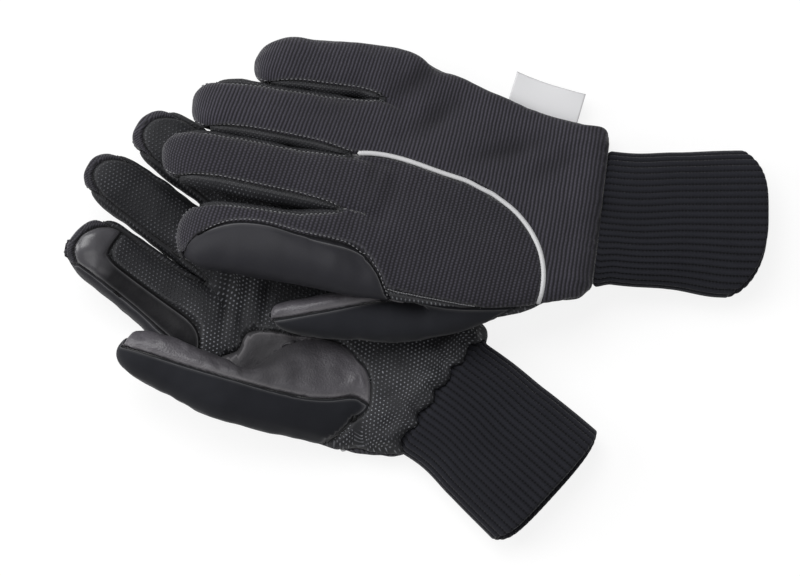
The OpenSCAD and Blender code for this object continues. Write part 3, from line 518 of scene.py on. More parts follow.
def node(tree, kind, links=(), **settings):
    """A shader node with its settings, and with its inputs, by name or number, linked or set."""
    made = tree.nodes.new("ShaderNode" + kind)
    for key, value in settings.items():
        setattr(made, key, value)
    for key, value in dict(links).items():
        if isinstance(value, bpy.types.NodeSocket):
            tree.links.new(value, made.inputs[key])
        else:
            made.inputs[key].default_value = value
    return made


def linked(target, **sockets):
    """Links sockets to a node's inputs, which are named with _ for a space."""
    for key, socket in sockets.items():
        target.id_data.links.new(socket, target.inputs[key.replace("_", " ")])


def math(operation, *values, kind="Math", give=0):
    """A Math or VectorMath node on values and sockets, in the sockets' own tree; gives its output."""
    tree = next(value.id_data for value in values if isinstance(value, bpy.types.NodeSocket))
    return node(tree, kind, enumerate(values), operation=operation).outputs[give]


def noise(place, scale, detail, rough=0.5):
    """Cloudy noise at a place."""
    links = {"Vector": place, "Scale": scale, "Detail": detail, "Roughness": rough}
    return node(place.id_data, "TexNoise", links).outputs["Fac"]


def own_place(tree):
    """The place on the piece itself, in metres."""
    return node(tree, "TexCoord").outputs["Object"]


def new_finish(name, **fixed):
    """A material with a Principled shader whose even values are set on its own sockets."""
    material = bpy.data.materials.new(name)
    material.use_nodes = True
    shader = material.node_tree.nodes["Principled BSDF"]
    for key, value in fixed.items():
        shader.inputs[key.replace("_", " ")].default_value = value
    return material, material.node_tree, shader


def blended(share, dark, light):
    """A colour between two colours or sockets, by a share; on a Mix node, 6 and 7 are its colours."""
    ends = [end if isinstance(end, bpy.types.NodeSocket) else (*end, 1) for end in (dark, light)]
    links = {0: share, 6: ends[0], 7: ends[1]}
    return node(share.id_data, "Mix", links, data_type="RGBA").outputs[2]


def group_in(tree, group, **links):
    """A placed node group with its inputs linked or set; gives its outputs."""
    return node(tree, "Group", links, node_tree=group).outputs


def cloth_fuzz():
    """Node group: loose fibres and uneven dye, as fine and coarse noise on the piece's own place."""
    tree, start, end = new_group("cloth_fuzz", {"Scale": 900.0}, ("Height", "Tone"))
    place = own_place(tree)
    fine = noise(place, start["Scale"], 4.0, 0.7)
    broad = noise(place, 45.0, 3.0)
    linked(end, Height=fine, Tone=math("MULTIPLY_ADD", fine, 0.6, math("MULTIPLY", broad, 0.4)))
    return tree


fuzz = cloth_fuzz()


def bumped(shader, height, strength, distance):
    """Links a height to the shader's normal through a Bump node; distance is in metres."""
    links = {"Strength": strength, "Distance": distance, "Height": height}
    linked(shader, Normal=node(shader.id_data, "Bump", links).outputs["Normal"])


def spun(name, dark, light, scale, bump=None, strength=0.6, **fixed):
    """A finish of loose or spun fibres: two tones by the fuzz, and the fibres as a fine bump."""
    material, tree, shader = new_finish(name, **fixed)
    placed = group_in(tree, fuzz, Scale=scale)
    linked(shader, Base_Color=blended(placed["Tone"], dark, light))
    if bump:
        bumped(shader, placed["Height"], strength, bump)
    return material


def padding_bag(glove, name, depth, thickness):
    """A bag inside the shell: the glove's form at a depth under the outer face, eased, with its wall."""
    bag = glove_skin(glove, depth, bag_fine)
    points = relaxed(bag["points"], bag["tris"], bag_rounds)
    piece = put_mesh(f"{NAMES[glove]}_{name}", points, bag["tris"])
    wall_of(piece, thickness)
    return piece


bag_fine, bag_rounds = 0.4, 4
lining_depth, lining_wall = 4.6, 1.2
brushed = dict(Roughness=0.95, Sheen_Weight=0.25, Sheen_Roughness=0.5)
fleece = spun("fleece", (0.012, 0.012, 0.013), (0.045, 0.045, 0.048), 700.0, 0.0006, **brushed)
for glove in (RIGHT, LEFT):
    lining = padding_bag(glove, "lining_bag", lining_depth, lining_wall)
    dress(glove, lining, fleece, "lining")

# Wadding: a soft fibre layer between the lining and the shell, caught in the same seams.
# It is what gives the fingers and the hand their padded shape.
wadding_depth, wadding_wall = 2.9, 1.5
wadding_grey = spun("wadding", (0.42, 0.43, 0.45), (0.66, 0.67, 0.69), 500.0, 0.0008, **brushed)
for glove in (RIGHT, LEFT):
    wadding = padding_bag(glove, "wadding_layer", wadding_depth, wadding_wall)
    dress(glove, wadding, wadding_grey, "wadding")

# Sewn shell: the outer panels of each glove meet edge to edge in seams that are turned in, so the
# cloth dips at every seam and swells between them. The shell is shaped as one skin, with its dips,
# swells and folds, and is then cut into its panels along the seams.
def evened(points, tris, rounds, free):
    """Points moved halfway to their neighbours' mean, round after round, as far as each is free to."""
    one, two = tris.ravel(), tris[:, [1, 2, 0]].ravel()
    for _ in range(rounds):
        points = points + 0.5 * free[:, None] * (meaned(points, one, two) - points)
    return points


def ripple(places, size, seed):
    """Smooth uneven waves about 1 high: a sum of cosines of many directions with lengths near size."""
    chance = np.random.default_rng(seed)
    way = chance.normal(size=(28, 3))
    way *= (2 * np.pi / size * chance.uniform(0.6, 1.4, 28) / np.linalg.norm(way, axis=1))[:, None]
    return np.cos(places @ way.T + chance.uniform(0, 6.3, 28)).sum(1) / np.sqrt(14)


def nearest(points, marks):
    """Distance of each point to the nearest mark, worked out in blocks."""
    square = (marks ** 2).sum(1)
    blocks = [np.sqrt(np.maximum(0, ((p ** 2).sum(1)[:, None] + square - 2 * p @ marks.T).min(1)))
              for p in np.array_split(points, max(1, len(points) // 1500))]
    return np.concatenate(blocks)


def spots(own, marks):
    """Round soft spots on the unrolled glove, summed: each mark gives its a, its b and its size."""
    return sum(np.exp(-((own[:, 0] - a) ** 2 + (own[:, 1] - b) ** 2) / size ** 2) for a, b, size in marks)


# where the shell is eased, where the thumb meets the palm, and where panels join at a sharp angle
bulges = ((86, 42, 9), (20, 47, 9), (94, -67, 13))
crotch_size = np.sqrt(110)
crotch_line = [(a, b, crotch_size) for a, b in ((84, 41), (79, 34), (74, 26), (71, 18))]
joins = ((35, 20, 7), (30, 28, 7), (40, 13, 7), (27, 36, 6), (17, 46, 6), (113, 19, 5))
lobe_hollow = [(80, 32, np.sqrt(420))]
seam_dip, seam_width, swell, calm_from = 0.75, 1.15, 0.35, 7
# folds as laid: x, y, way in radians, length, width and depth
folds = (((3.5, 98, 0.68, 17, 5.5, 1.9), (11.4, 79, 0.68, 15, 5, 1.9), (46, 64, 0.33, 17, 5, 1.7),
          (-30, 86, 0.6, 15, 6, 1.1), (-18, 46, 1.3, 9, 3, 0.7), (-9, 44, 1.3, 9, 3, 0.7),
          (66, 56, 0.5, 12, 5, 1.0)),
         ((-86, -10, 1.45, 15, 2.6, 1.3), (-77.5, -10, 1.4, 15, 2.6, 1.3), (-68, -11, 1.35, 14, 2.8, 1.2)))
floor_gap, cloth_gap, shell_wall, seam_reach = 0.15, 1.3, 1.1, 1.6


def sewn_shell(glove):
    """The finished skin of one glove: eased along its normals, its seam lines evened out, dipped at
    the seams, swelled and rippled between them."""
    skin = glove_skin(glove, 0, 1)
    plain, tris, panel, own = skin["points"], skin["tris"], skin["panel"], skin["own"]
    a, b, c = own[:, :3].T
    edges = np.sort(np.concatenate([tris[:, [0, 1]], tris[:, [1, 2]], tris[:, [2, 0]]]), 1)
    order = np.lexsort((edges[:, 1], edges[:, 0]))
    edges, owner = edges[order], np.tile(np.arange(len(tris)), 3)[order]
    twin = np.flatnonzero((edges[1:] == edges[:-1]).all(1))
    seam = edges[twin[panel[owner[twin]] != panel[owner[twin + 1]]]]
    paired = np.zeros(len(edges), bool)
    paired[twin] = paired[twin + 1] = True
    loose = np.ones(len(plain))
    loose[edges[~paired]] = 0

    # kinks eased out, most of all at the thumb's crotch and where panels join
    points = relaxed(plain, tris, 14, free=loose)
    points = relaxed(points, tris, 40, push=0, free=loose * np.minimum(1, spots(own, bulges)))
    crotch = spots(own, crotch_line) * smooth((3 - c) / 4)
    near = tris[(crotch[tris] > 0.02).any(1)]
    normal = normals_of(points, tris)
    moved = relaxed(points, near, 300, push=0, free=loose * np.minimum(1, crotch)) - points
    points = points + np.maximum(-0.3, (moved * normal).sum(1))[:, None] * normal
    points = evened(points, tris, 60, loose * np.minimum(1, spots(own, joins)) * smooth((2 - c) / 4))

    # the palm cloth gathered at the hem
    gather = (1 - smooth(a / 20)) * smooth(-c / 7)
    wave = (3.4 + 1.3 * np.sin(b / 2.0 + 1) + 0.4 * np.sin(b / 1.1)) if glove == LEFT else 0.6
    ahead = np.array([-np.cos(turn_of[glove]), np.sin(turn_of[glove]), 0])
    points = points + (gather * wave)[:, None] * ahead

    # seam lines evened out; in the corner at the thumb's base they slide on the surface, and for longer
    one, two = np.concatenate([seam, seam[:, ::-1]]).T
    in_line = np.bincount(one, minlength=len(points)) == 2
    corner = (a > 21) & (a < 36) & (b > 27) & (c < 2)
    normal = normals_of(points, tris)
    for turn in range(120):
        slide = (meaned(points, one, two) - points) * (in_line & (corner | (turn < 30)))[:, None]
        held = corner * (slide * normal).sum(1)
        points = points + 0.5 * (slide - held[:, None] * normal)

    # height over the eased skin, by the distance from the nearest seam
    along_seam = np.linspace(0, 1, 4)[:, None, None]
    far = nearest(points, mix(points[seam[:, 0]], points[seam[:, 1]], along_seam).reshape(-1, 3))
    normal = normals_of(points, tris)
    calm, clear, open_cloth = smooth(far / calm_from), smooth(far / 3), smooth(far / 4)
    lift = swell * calm - seam_dip * np.exp(-(far / seam_width) ** 2)
    lift += 0.3 * ripple(points, 30, 3 + glove) * calm + 0.1 * ripple(points, 9, 5 + glove) * clear
    lift -= 0.25 * np.exp(-(far / 2.5) ** 2) * (0.5 + 0.5 * ripple(points, 7, 8 + glove))
    lift += 0.45 * np.exp(-a / 11) * smooth(a / 2) * np.sin(b / 1.3 + 2 * ripple(points, 25, 11))
    hide, pad = np.zeros(len(points)), np.zeros(len(points))
    hide[tris[panel == THUMB_PALM]] = 1
    pad[tris[panel == TIP]] = 1
    pad *= smooth((a - 164) / 5)
    creased = 0.3 * ripple(points, 15, 20) + 0.1 * ripple(points, 6, 21) + 0.03 * ripple(points, 3.5, 22)
    lift += hide * open_cloth * creased
    lift += 0.4 * hide * np.exp(-((far - 3.5) / 2) ** 2)
    lift += pad * open_cloth * (0.7 + 0.12 * ripple(points, 9, 23))
    if glove == LEFT:
        puff = smooth(a / 6) * np.exp(-(a / 20) ** 2) * smooth(-c / 5) * clear
        lift += 0.75 * puff * ripple(points, 12, 33)
    knuckles = np.exp(-((a - 104) / 15) ** 2) * (c > 0)
    lift += 0.4 * knuckles * calm * ripple(points * np.array([1, 0.45, 1]), 15, 31)

    # painted shade, kept with the points: in the hem, in the hollow of the leather lobe and in the folds
    shade = np.maximum(0.9 * (1 - smooth(a / 12)), hide * spots(own, lobe_hollow))
    for x, y, way, long, wide, deep in folds[glove]:
        turn = np.array([(np.cos(way), -np.sin(way)), (np.sin(way), np.cos(way))])
        turned = (points[:, :2] - (x, y)) @ turn
        valley = np.exp(-((turned / (long, wide)) ** 2).sum(1)) * (normal[:, 2] > 0) * clear
        shade = np.maximum(shade, valley * min(1, deep / 1.7))
        lift -= deep * valley

    # laid on the floor, with room for the wall of the cloth under an upper face
    points = points + (lift * loose)[:, None] * normal
    points[:, 2] = np.maximum(points[:, 2], floor_gap)
    flat_up = normals_of(points, tris)[:, 2] > -0.1
    points[:, 2] = np.where(flat_up, np.maximum(points[:, 2], cloth_gap), points[:, 2])
    skin.update(points=points, plain=plain, shade=shade, far=far, normal=normals_of(points, tris))
    return skin


shells = [sewn_shell(glove) for glove in (RIGHT, LEFT)]


def drawn_on(glove, v, x):
    """A line drawn on the back of the hand by its shares along and across it: laid out on the plain
    form and moved as the shell's points round it were. Gives its points and normals."""
    skin = shells[glove]
    ids = np.unique(skin["grids"]["back"])
    line = laid(glove, hand_at(glove, x, v, 1, 0), 0)
    share = np.exp(-((line[:, None] - skin["plain"][ids]) ** 2).sum(2) / 4)
    share /= share.sum(1, keepdims=True)
    return line + share @ (skin["points"] - skin["plain"])[ids], unit(share @ skin["normal"][ids])


def run_length(line):
    """Length along a line of points, from its start to each point."""
    return np.concatenate([[0], np.cumsum(np.linalg.norm(np.diff(line, axis=0), axis=1))])


def stepped(line, up, step, trim=(0, 1)):
    """Even steps along a line: the places, their up directions and the way ahead at each."""
    length = run_length(line)
    at = np.arange(trim[0] * length[-1], trim[1] * length[-1], step)

    def taken(values, where):
        return np.stack([np.interp(where, length, values[:, k]) for k in range(3)], 1)
    return taken(line, at), taken(up, at), unit(taken(line, at + 0.6) - taken(line, at - 0.6))


def along_across(own):
    """Cloth map of a panel cut straight: along the glove and across it."""
    return own[:, :2]


def cut_panel(glove, kind, name, cloth=along_across):
    """One panel of a shell as a piece of its own: the triangles of that kind, with the cloth map worked
    out from the unrolled place and the distance to the nearest seam kept with each point."""
    skin = shells[glove]
    tris = skin["tris"][skin["panel"] == kind]
    used, faces = np.unique(tris, return_inverse=True)
    piece = put_mesh(f"{NAMES[glove]}_{name}", skin["points"][used], faces.reshape(-1, 3),
                     uv=cloth(skin["own"][used]), seam=np.exp(-skin["far"][used] / seam_reach),
                     shade=skin["shade"][used])
    wall_of(piece, shell_wall)
    return piece


# Palm and finger fronts: one cut of coated grip fabric with small raised dots in rows, sewn to the
# back along the sides and open where the thumb and the leather of the index finger are let in.
def ranged(value, low, high, to_low=0.0, to_high=1.0, **settings):
    """A value carried from the span low to high over to another span, and held at its ends."""
    links = enumerate((value, low, high, to_low, to_high))
    return node(value.id_data, "MapRange", links, **settings).outputs[0]


def parts_of(vector):
    """The X, Y and Z of a vector socket, by name."""
    return node(vector.id_data, "SeparateXYZ", {0: vector}).outputs


def cloth_map(tree):
    """The place on the flat cloth, in metres: along it and across it."""
    return node(tree, "UVMap", uv_map="cloth").outputs["UV"]


def kept(tree, name):
    """A value kept with the points of a piece."""
    return node(tree, "Attribute", attribute_name=name).outputs["Fac"]


def grip_dots():
    """Node group: round dots on a hexagonal net over the cloth map, as a mask of their painted glint and a
    height. The painted glint shows in patches, and less on the fingers than on the palm."""
    tree, start, end = new_group("grip_dots", {"Map": None, "Pitch": 0.0024}, ("Dot", "Height"))
    net = {"X": start["Pitch"], "Y": math("MULTIPLY", start["Pitch"], 1.732), "Z": 1.0}
    cell = math("DIVIDE", start["Map"], node(tree, "CombineXYZ", net).outputs[0], kind="VectorMath")
    shares = []
    for shift in (0.0, 0.5):
        moved = math("ADD", cell, (shift, shift, 0), kind="VectorMath")
        part = math("FRACTION", moved, kind="VectorMath")
        centred = math("ADD", part, (-0.5, -0.5, 0), kind="VectorMath")
        scaled = math("MULTIPLY", centred, (1, 1.732, 0), kind="VectorMath")
        shares.append(math("LENGTH", scaled, kind="VectorMath", give="Value"))
    dot = ranged(math("MINIMUM", *shares), 0.29, 0.08, interpolation_type="SMOOTHSTEP")
    lit = ranged(noise(own_place(tree), 70.0, 3.0), 0.4, 0.64, 0.2)
    highlit = ranged(parts_of(start["Map"])["X"], 0.106, 0.128, 1.0, 0.38)
    fibres = group_in(tree, fuzz, Scale=1400.0)
    linked(end, Dot=math("MULTIPLY", dot, math("MULTIPLY", lit, highlit)),
           Height=math("MULTIPLY_ADD", fibres["Height"], 0.3, dot))
    return tree


dots = grip_dots()


def seam_shade_and_sheen():
    """Node group: painted shade in the seam's dip, a painted highlight on the ridge beside it and a thin line
    of thread on the ridge, from the kept seam distance."""
    black, sheen_grey = (0.0, 0.0, 0.0, 1.0), (0.07, 0.07, 0.073, 1.0)
    tree, start, end = new_group("seam_shade_and_sheen", {"Colour": black, "Rub": sheen_grey, "Thread": 0.0}, ("Colour",))
    near = kept(tree, "seam")
    # painted light: the lighter ridge beside each seam is a painted highlight, the dark dip is painted shade
    # in the seam
    ridge = ranged(math("ABSOLUTE", math("SUBTRACT", near, 0.42)), 0.2, 0.0, 0.0, 0.35)
    dip = ranged(near, 0.55, 1.0, 0.0, 0.75)
    line = ranged(math("ABSOLUTE", math("SUBTRACT", near, 0.5)), 0.09, 0.02)
    highlit = blended(ridge, start["Colour"], start["Rub"])
    highlit = blended(math("MULTIPLY", line, start["Thread"]), highlit, (0.16, 0.16, 0.165))
    linked(end, Colour=blended(dip, highlit, (0.004, 0.004, 0.004)))
    return tree


seam_light = seam_shade_and_sheen()


def seam_lit_colour(shader, colour, **wanted):
    """Passes a colour through the painted seam shade and ridge highlight to the shader."""
    linked(shader, Base_Color=group_in(shader.id_data, seam_light, Colour=colour, **wanted)["Colour"])


grip, tree, shader = new_finish("grip_fabric", Specular_IOR_Level=0.45)
placed = group_in(tree, dots, Map=cloth_map(tree), Pitch=0.002)
# the dots carry a painted highlight: light grey on the dark ground where the glint mask is
seam_lit_colour(shader, blended(placed["Dot"], (0.0084, 0.0088, 0.0112), (0.25, 0.258, 0.285)))
linked(shader, Roughness=ranged(placed["Dot"], 0.0, 1.0, 0.75, 0.24))
bumped(shader, placed["Height"], 0.9, 0.0005)
for glove in (RIGHT, LEFT):
    dress(glove, cut_panel(glove, PALM, "grip_palm"), grip, "palm_panel")

# Fourchettes: strips of the same grip fabric that run up one finger's side, round the slot and down
# the next finger's side, sewn between the back and the palm.
slot_names = ("index_middle", "middle_ring", "ring_little")
for glove in (RIGHT, LEFT):
    for i, name in enumerate(slot_names):
        def unfolded(own, slot=slot_b[i + 1]):
            """Cloth map of a strip folded round a slot: along it, and up its wall and away from the slot."""
            return np.stack([own[:, 0], own[:, 2] + np.abs(own[:, 1] - slot)], 1)
        strip = cut_panel(glove, FORK + i, f"finger_side_{name}", unfolded)
        dress(glove, strip, grip, f"fourchette_{name}")

# Index finger: a leaf-shaped panel of smooth synthetic leather over its outer side, and soft leather
# on the front of the tip, which runs on as a band beside the seam and ends in a round lobe.
def leather_grain():
    """Node group: pebbled skin cells with creases between them, and a fine pore noise."""
    tree, start, end = new_group("leather_grain", {"Scale": 700.0}, ("Height", "Tone"))
    place = own_place(tree)
    cells = node(tree, "TexVoronoi", {"Vector": place, "Scale": start["Scale"]}, feature="SMOOTH_F1")
    pores = noise(place, math("MULTIPLY", start["Scale"], 2.5), 3.0)
    height = math("MULTIPLY_ADD", pores, 0.35, cells.outputs["Distance"])
    broad = math("MULTIPLY", noise(place, 60.0, 4.0), 0.6)
    linked(end, Height=height, Tone=math("MULTIPLY_ADD", height, 0.35, broad))
    return tree


grain = leather_grain()


def leather_finish(name, dark, light, scale, rough, bump, gloss=0.5, polished=False, seam_sheen=0.0, **wanted):
    """Leather or smooth synthetic: two tones by the grain, painted shade in the seam dips and a painted
    highlight on the ridge beside them, a painted sheen lightening the colour towards the seams, painted shade
    where the kept shade is, pebbled bump. A polished one is glossy on the fingertip, past 160 mm along the
    cloth map, and lighter there with a painted sheen."""
    material, tree, shader = new_finish(name, Specular_IOR_Level=gloss)
    placed = group_in(tree, grain, Scale=scale)
    colour = blended(placed["Tone"], dark, light)
    dull = ranged(placed["Tone"], 0.0, 1.0, *rough)
    if polished:
        tip = ranged(parts_of(cloth_map(tree))["X"], 0.158, 0.168)
        linked(shader, Coat_Weight=math("MULTIPLY", tip, 0.95))
        shader.inputs["Coat Roughness"].default_value = 0.32
        dull = math("MULTIPLY", dull, math("MULTIPLY_ADD", tip, -0.4, 1.0))
        # painted sheen: the fingertip's colour is lightened where its coat shines
        colour = blended(math("MULTIPLY", tip, 0.75), colour, (0.08, 0.078, 0.087))
    shade = kept(tree, "shade")
    # painted sheen: the colour lightens towards the seams
    share = math("MULTIPLY", math("POWER", kept(tree, "seam"), 0.27), seam_sheen)
    colour = blended(share, colour, (0.125, 0.118, 0.132))
    # painted shade: darker where the kept shade value is
    colour = blended(math("MULTIPLY", shade, 0.75), colour, (0.008, 0.008, 0.009))
    seam_lit_colour(shader, colour, **wanted)
    linked(shader, Roughness=math("MULTIPLY_ADD", shade, 0.35, dull))
    bumped(shader, placed["Height"], 0.5, bump)
    return material


synthetic = leather_finish("smooth_synthetic", (0.0098, 0.0097, 0.0124), (0.0215, 0.0213, 0.027), 1500.0,
                           (0.55, 0.68), 0.00008, gloss=0.25, Thread=0.5)
leather = leather_finish("soft_leather", (0.0035, 0.0034, 0.0042), (0.0125, 0.012, 0.0142), 800.0,
                         (0.55, 0.7), 0.00018, gloss=0.2, polished=True, Thread=0.4)
dry_leather = leather_finish("dry_leather", (0.010, 0.0094, 0.011), (0.1, 0.093, 0.107), 1250.0,
                             (0.36, 0.56), 0.00034, gloss=0.6, seam_sheen=0.5,
                             Rub=(0.17, 0.16, 0.165, 1), Thread=0.3)
for glove in (RIGHT, LEFT):
    leaf = cut_panel(glove, SIDE, "index_leaf_panel")
    dress(glove, leaf, synthetic, "index_side_panel")
    dress(glove, cut_panel(glove, TIP, "index_leather_front"), leather, "index_fingertip")

# Thumb: soft leather on the inner half with the lobe that is let into the palm, and fine softshell
# on the outer half, which is rolled over the tip.
softshell, tree, shader = new_finish("softshell", Roughness=0.82, Specular_IOR_Level=0.2,
                                     Sheen_Weight=0.15, Sheen_Roughness=0.4)
placed = group_in(tree, fuzz, Scale=1600.0)
seam_lit_colour(shader, blended(placed["Tone"], (0.0055, 0.006, 0.008), (0.0158, 0.0166, 0.0215)), Thread=0.35)
bumped(shader, placed["Height"], 0.4, 0.00015)
for glove in (RIGHT, LEFT):
    dress(glove, cut_panel(glove, THUMB_PALM, "thumb_leather"), dry_leather, "thumb_palm")
    dress(glove, cut_panel(glove, THUMB_BACK, "thumb_softshell"), softshell, "thumb_back")

# Back panels: ribbed stretch cloth, the ribs running across the hand. The outer panel takes in the
# wrist, the ring and the little finger; the inner one the thumb side, the index and middle finger.
def waved(turns):
    """A wave from 0 to 1 and back for every whole turn."""
    return math("MULTIPLY_ADD", math("COSINE", math("MULTIPLY", turns, 6.2832)), 0.5, 0.5)


def rib_weave():
    """Node group: round ribs across the cloth map, broken into staggered knit cells by Dash."""
    inputs = {"Map": None, "Pitch": 0.0018, "Cell": 0.0014, "Dash": 0.3}
    tree, start, end = new_group("rib_weave", inputs, ("Height", "Tone"))
    place = parts_of(start["Map"])
    wander = math("MULTIPLY", noise(start["Map"], 160.0, 2.0), 0.35)
    row = math("ADD", math("DIVIDE", place["X"], start["Pitch"]), wander)
    stagger = math("MULTIPLY", math("FLOOR", math("ADD", row, 0.5)), 0.5)
    dash = waved(math("ADD", math("DIVIDE", place["Y"], start["Cell"]), stagger))
    gap = math("MULTIPLY", math("SUBTRACT", 1.0, dash), start["Dash"])
    height = math("MULTIPLY", waved(row), math("SUBTRACT", 1.0, gap))
    yarn = group_in(tree, fuzz, Scale=1500.0)
    # the tone follows the rib height: painted light on the ribs and painted shade between them
    linked(end, Height=math("MULTIPLY_ADD", yarn["Height"], 0.25, height),
           Tone=math("MULTIPLY", height, math("MULTIPLY_ADD", yarn["Tone"], 1.2, 0.4)))
    return tree


weave = rib_weave()


def ribbed_cloth(name, **wanted):
    """Ribbed stretch cloth: painted shade between the ribs and painted light on them, painted shade in the
    folds and the hem, and at the seams painted shade in the dip and a painted highlight on the ridge beside
    it.
    """
    material, tree, shader = new_finish(name, Roughness=0.9, Sheen_Weight=0.2, Sheen_Roughness=0.4,
                                        Specular_IOR_Level=0.3)
    placed = group_in(tree, weave, Map=cloth_map(tree), **wanted)
    # painted shade from the kept shade value: darker in the folds and near the hem
    tone = math("MULTIPLY", placed["Tone"], math("MULTIPLY_ADD", kept(tree, "shade"), -0.55, 1.0))
    seam_lit_colour(shader, blended(tone, (0.008, 0.0077, 0.0098), (0.056, 0.0525, 0.069)))
    bumped(shader, placed["Height"], 0.8, 0.0004)
    return material


def ribs(slant, more, start, run):
    """Cloth map of a back panel: ribs some degrees off square to the glove, and turned by some more over
    a run along it. Along is the unrolled length less the tangent of the turn times the place across."""
    def mapped(own):
        turn = np.radians(slant + more * smooth((own[:, 0] - start) / run))
        return np.stack([own[:, 0] + own[:, 3] - own[:, 1] * np.tan(turn), own[:, 1]], 1)
    return mapped


outer_rib = ribbed_cloth("outer_rib", Dash=0.25, Cell=0.0016, Pitch=0.0018)
inner_rib = ribbed_cloth("inner_rib", Dash=0.7, Cell=0.0014, Pitch=0.0019)
for glove in (RIGHT, LEFT):
    outer_back = cut_panel(glove, OUTER, "ribbed_outer_back", ribs(2, 11, 0, 150))
    dress(glove, outer_back, outer_rib, "back_outer_panel")
    inner_back = cut_panel(glove, INNER, "ribbed_inner_back", ribs(8, 4, 90, 80))
    dress(glove, inner_back, inner_rib, "back_inner_panel")

# Reflective piping: a thin cord in a light grey reflective tape, caught in the seam between the two
# back panels from the slot of middle and ring finger to the thumb-side edge.
def tube_faces(rows, columns):
    """Quads of a tube of rows of points, closed round; its ends are closed by the caller's points."""
    k = np.arange(rows * columns).reshape(rows, columns)
    k = np.concatenate([k, k[:, :1]], 1)
    return np.stack([k[:-1, :-1], k[:-1, 1:], k[1:, 1:], k[1:, :-1]], -1).reshape(-1, 4)


def cord_along(name, path, up, wide, high, columns=12):
    """A cord of oval section along a path, drawn in to a point at both ends."""
    ahead = unit(np.gradient(path, axis=0))
    side = unit(np.cross(ahead, up))
    turn = np.linspace(0, 2 * np.pi, columns, endpoint=False)
    outline = np.stack([wide * np.cos(turn), high * np.sin(turn)], 1)
    ends = np.ones((len(path), 1))
    ends[[0, -1]] = 0.02
    aside, upward = (side * ends)[:, None], (np.cross(side, ahead) * ends)[:, None]
    rings = path[:, None] + outline[None, :, :1] * aside + outline[None, :, 1:] * upward
    uv = stacked(run_length(path)[:, None], (turn * wide)[None, :]).reshape(-1, 2)
    return put_mesh(name, rings.reshape(-1, 3), tube_faces(len(path), columns), uv=uv)


pipe_step, pipe_rounds, pipe_rise, pipe_floor, pipe_wide, pipe_high = 0.9, 24, 0.55, 1.0, 1.15, 0.9
reflective = spun("reflective_tape", (0.42, 0.42, 0.43), (0.66, 0.66, 0.67), 2500.0, 0.0001, 0.3,
                  Roughness=0.45, Specular_IOR_Level=0.5)
for glove in (RIGHT, LEFT):
    low_x = np.linspace(0.998, pipe_along[0, 1], 110)
    high_v = np.linspace(pipe_along[0, 0], 0.985, 90)[1:]
    path, up = drawn_on(glove, np.concatenate([through(pipe_across, low_x), high_v]),
                        np.concatenate([low_x, through(pipe_along, high_v)]))
    path, up, _ = stepped(path, up, pipe_step)
    for _ in range(pipe_rounds):
        path[1:-1] = (path[:-2] + 2 * path[1:-1] + path[2:]) / 4
    path = path + pipe_rise * up
    path[:, 2] = np.maximum(path[:, 2], pipe_floor)
    piping = cord_along(f"{NAMES[glove]}_piping_cord", path, up, pipe_wide, pipe_high)
    dress(glove, piping, reflective, "reflective_piping")

# Cuffs: doubled rib knit, folded over at the open end and gathered into the shell at the wrist seam.
# The ribs run along the cuff, with a row of small knit holes in each valley.
cuff_long, cuff_end = (77.7, 67), (67, 70)
cuff_bend = np.radians((-6, 6))
cuff_wall, rib_count, rib_steps, rib_rise = 3.2, 48, 12, 0.75
rib_pitch, loop_pitch, fold_at, outer_rings, inner_rings = 3.1, 1.6, 0.978, 64, 24


def cuff_skin(glove):
    """The knit tube: rings of a superellipse along a bent centre line, out to the open end, over the
    fold and back inside, each ring swelling and falling with the ribs."""
    fine = np.linspace(0, 2 * np.pi, 4001)
    outline = np.stack([round_x(fine, hand_power) * 32, round_z(fine, hand_power) * half_cuff], 1)
    length = run_length(outline)
    phase = np.arange(rib_count * rib_steps) / (rib_count * rib_steps)
    turn = np.interp(phase, length / length[-1], fine)
    fold = np.linspace(0, np.pi, 9)
    share = np.concatenate([np.linspace(-0.1, fold_at, outer_rings), fold_at + 0.022 * np.sin(fold[1:-1]),
                            np.linspace(fold_at, 0.02, inner_rings)])[:, None]
    depth = np.concatenate([np.zeros(outer_rings), cuff_wall * (1 - np.cos(fold[1:-1])) / 2,
                            np.full(inner_rings, cuff_wall)])[:, None]
    rib = np.abs(np.sin(np.pi * rib_count * phase))[None, :] ** 0.75
    tuck = 1.6 * (1 - smooth((share + 0.06) / 0.06)) * (depth < 0.1)
    swell = rib_rise * (rib - 0.7) * np.where(depth < cuff_wall, 1, 0.3)
    depth = depth + tuck - swell
    x = round_x(turn, hand_power)[None, :]
    far = np.abs(x)
    if glove == RIGHT:
        short = np.where(x < 0, 11 * far ** 4, 14 * far ** 2.4 + 4.6 * far ** 12)
        flare = np.where(x < 0, 2.4 * (1 - smooth(share / 0.65)),
                         2.4 * (1 - smooth(share / 0.13)) + 1.8 * smooth((share - 0.55) / 0.35))
    else:
        short = 2 * far ** 3 + np.where(x < 0, 1.5, 4) * far ** 10
        flare = np.where(x < 0, -1.2 * (1 - smooth(share / 0.6)),
                         -1.3 * np.sin(np.pi * np.clip(share, 0, 1)) - 0.6 * smooth((share - 0.6) / 0.4))
    along = share * (cuff_long[glove] - short)
    bend = cuff_bend[glove] * smooth(share * 2)
    half = mix(wrist_width[glove], cuff_end[glove], smooth(share)) / 2 - depth
    half = half + flare * smooth((share + 0.03) / 0.05)
    high = half_cuff - 0.6 * np.sin(np.pi * np.clip(share, 0, 1)) - depth
    q = stacked(-0.1 - along * np.cos(bend) + half * x * np.sin(bend),
                wrist_shift[glove] + along * np.sin(bend) + half * x * np.cos(bend),
                high * round_z(turn, hand_power)[None, :])
    return laid(glove, q, 0), stacked(phase[None, :] * rib_count * rib_pitch, along)


def humped(along, pitch):
    """A row of round humps from 0 to 1, one for each pitch in millimetres."""
    return math("ABSOLUTE", math("SINE", math("MULTIPLY", along, np.pi / (pitch * MM))))


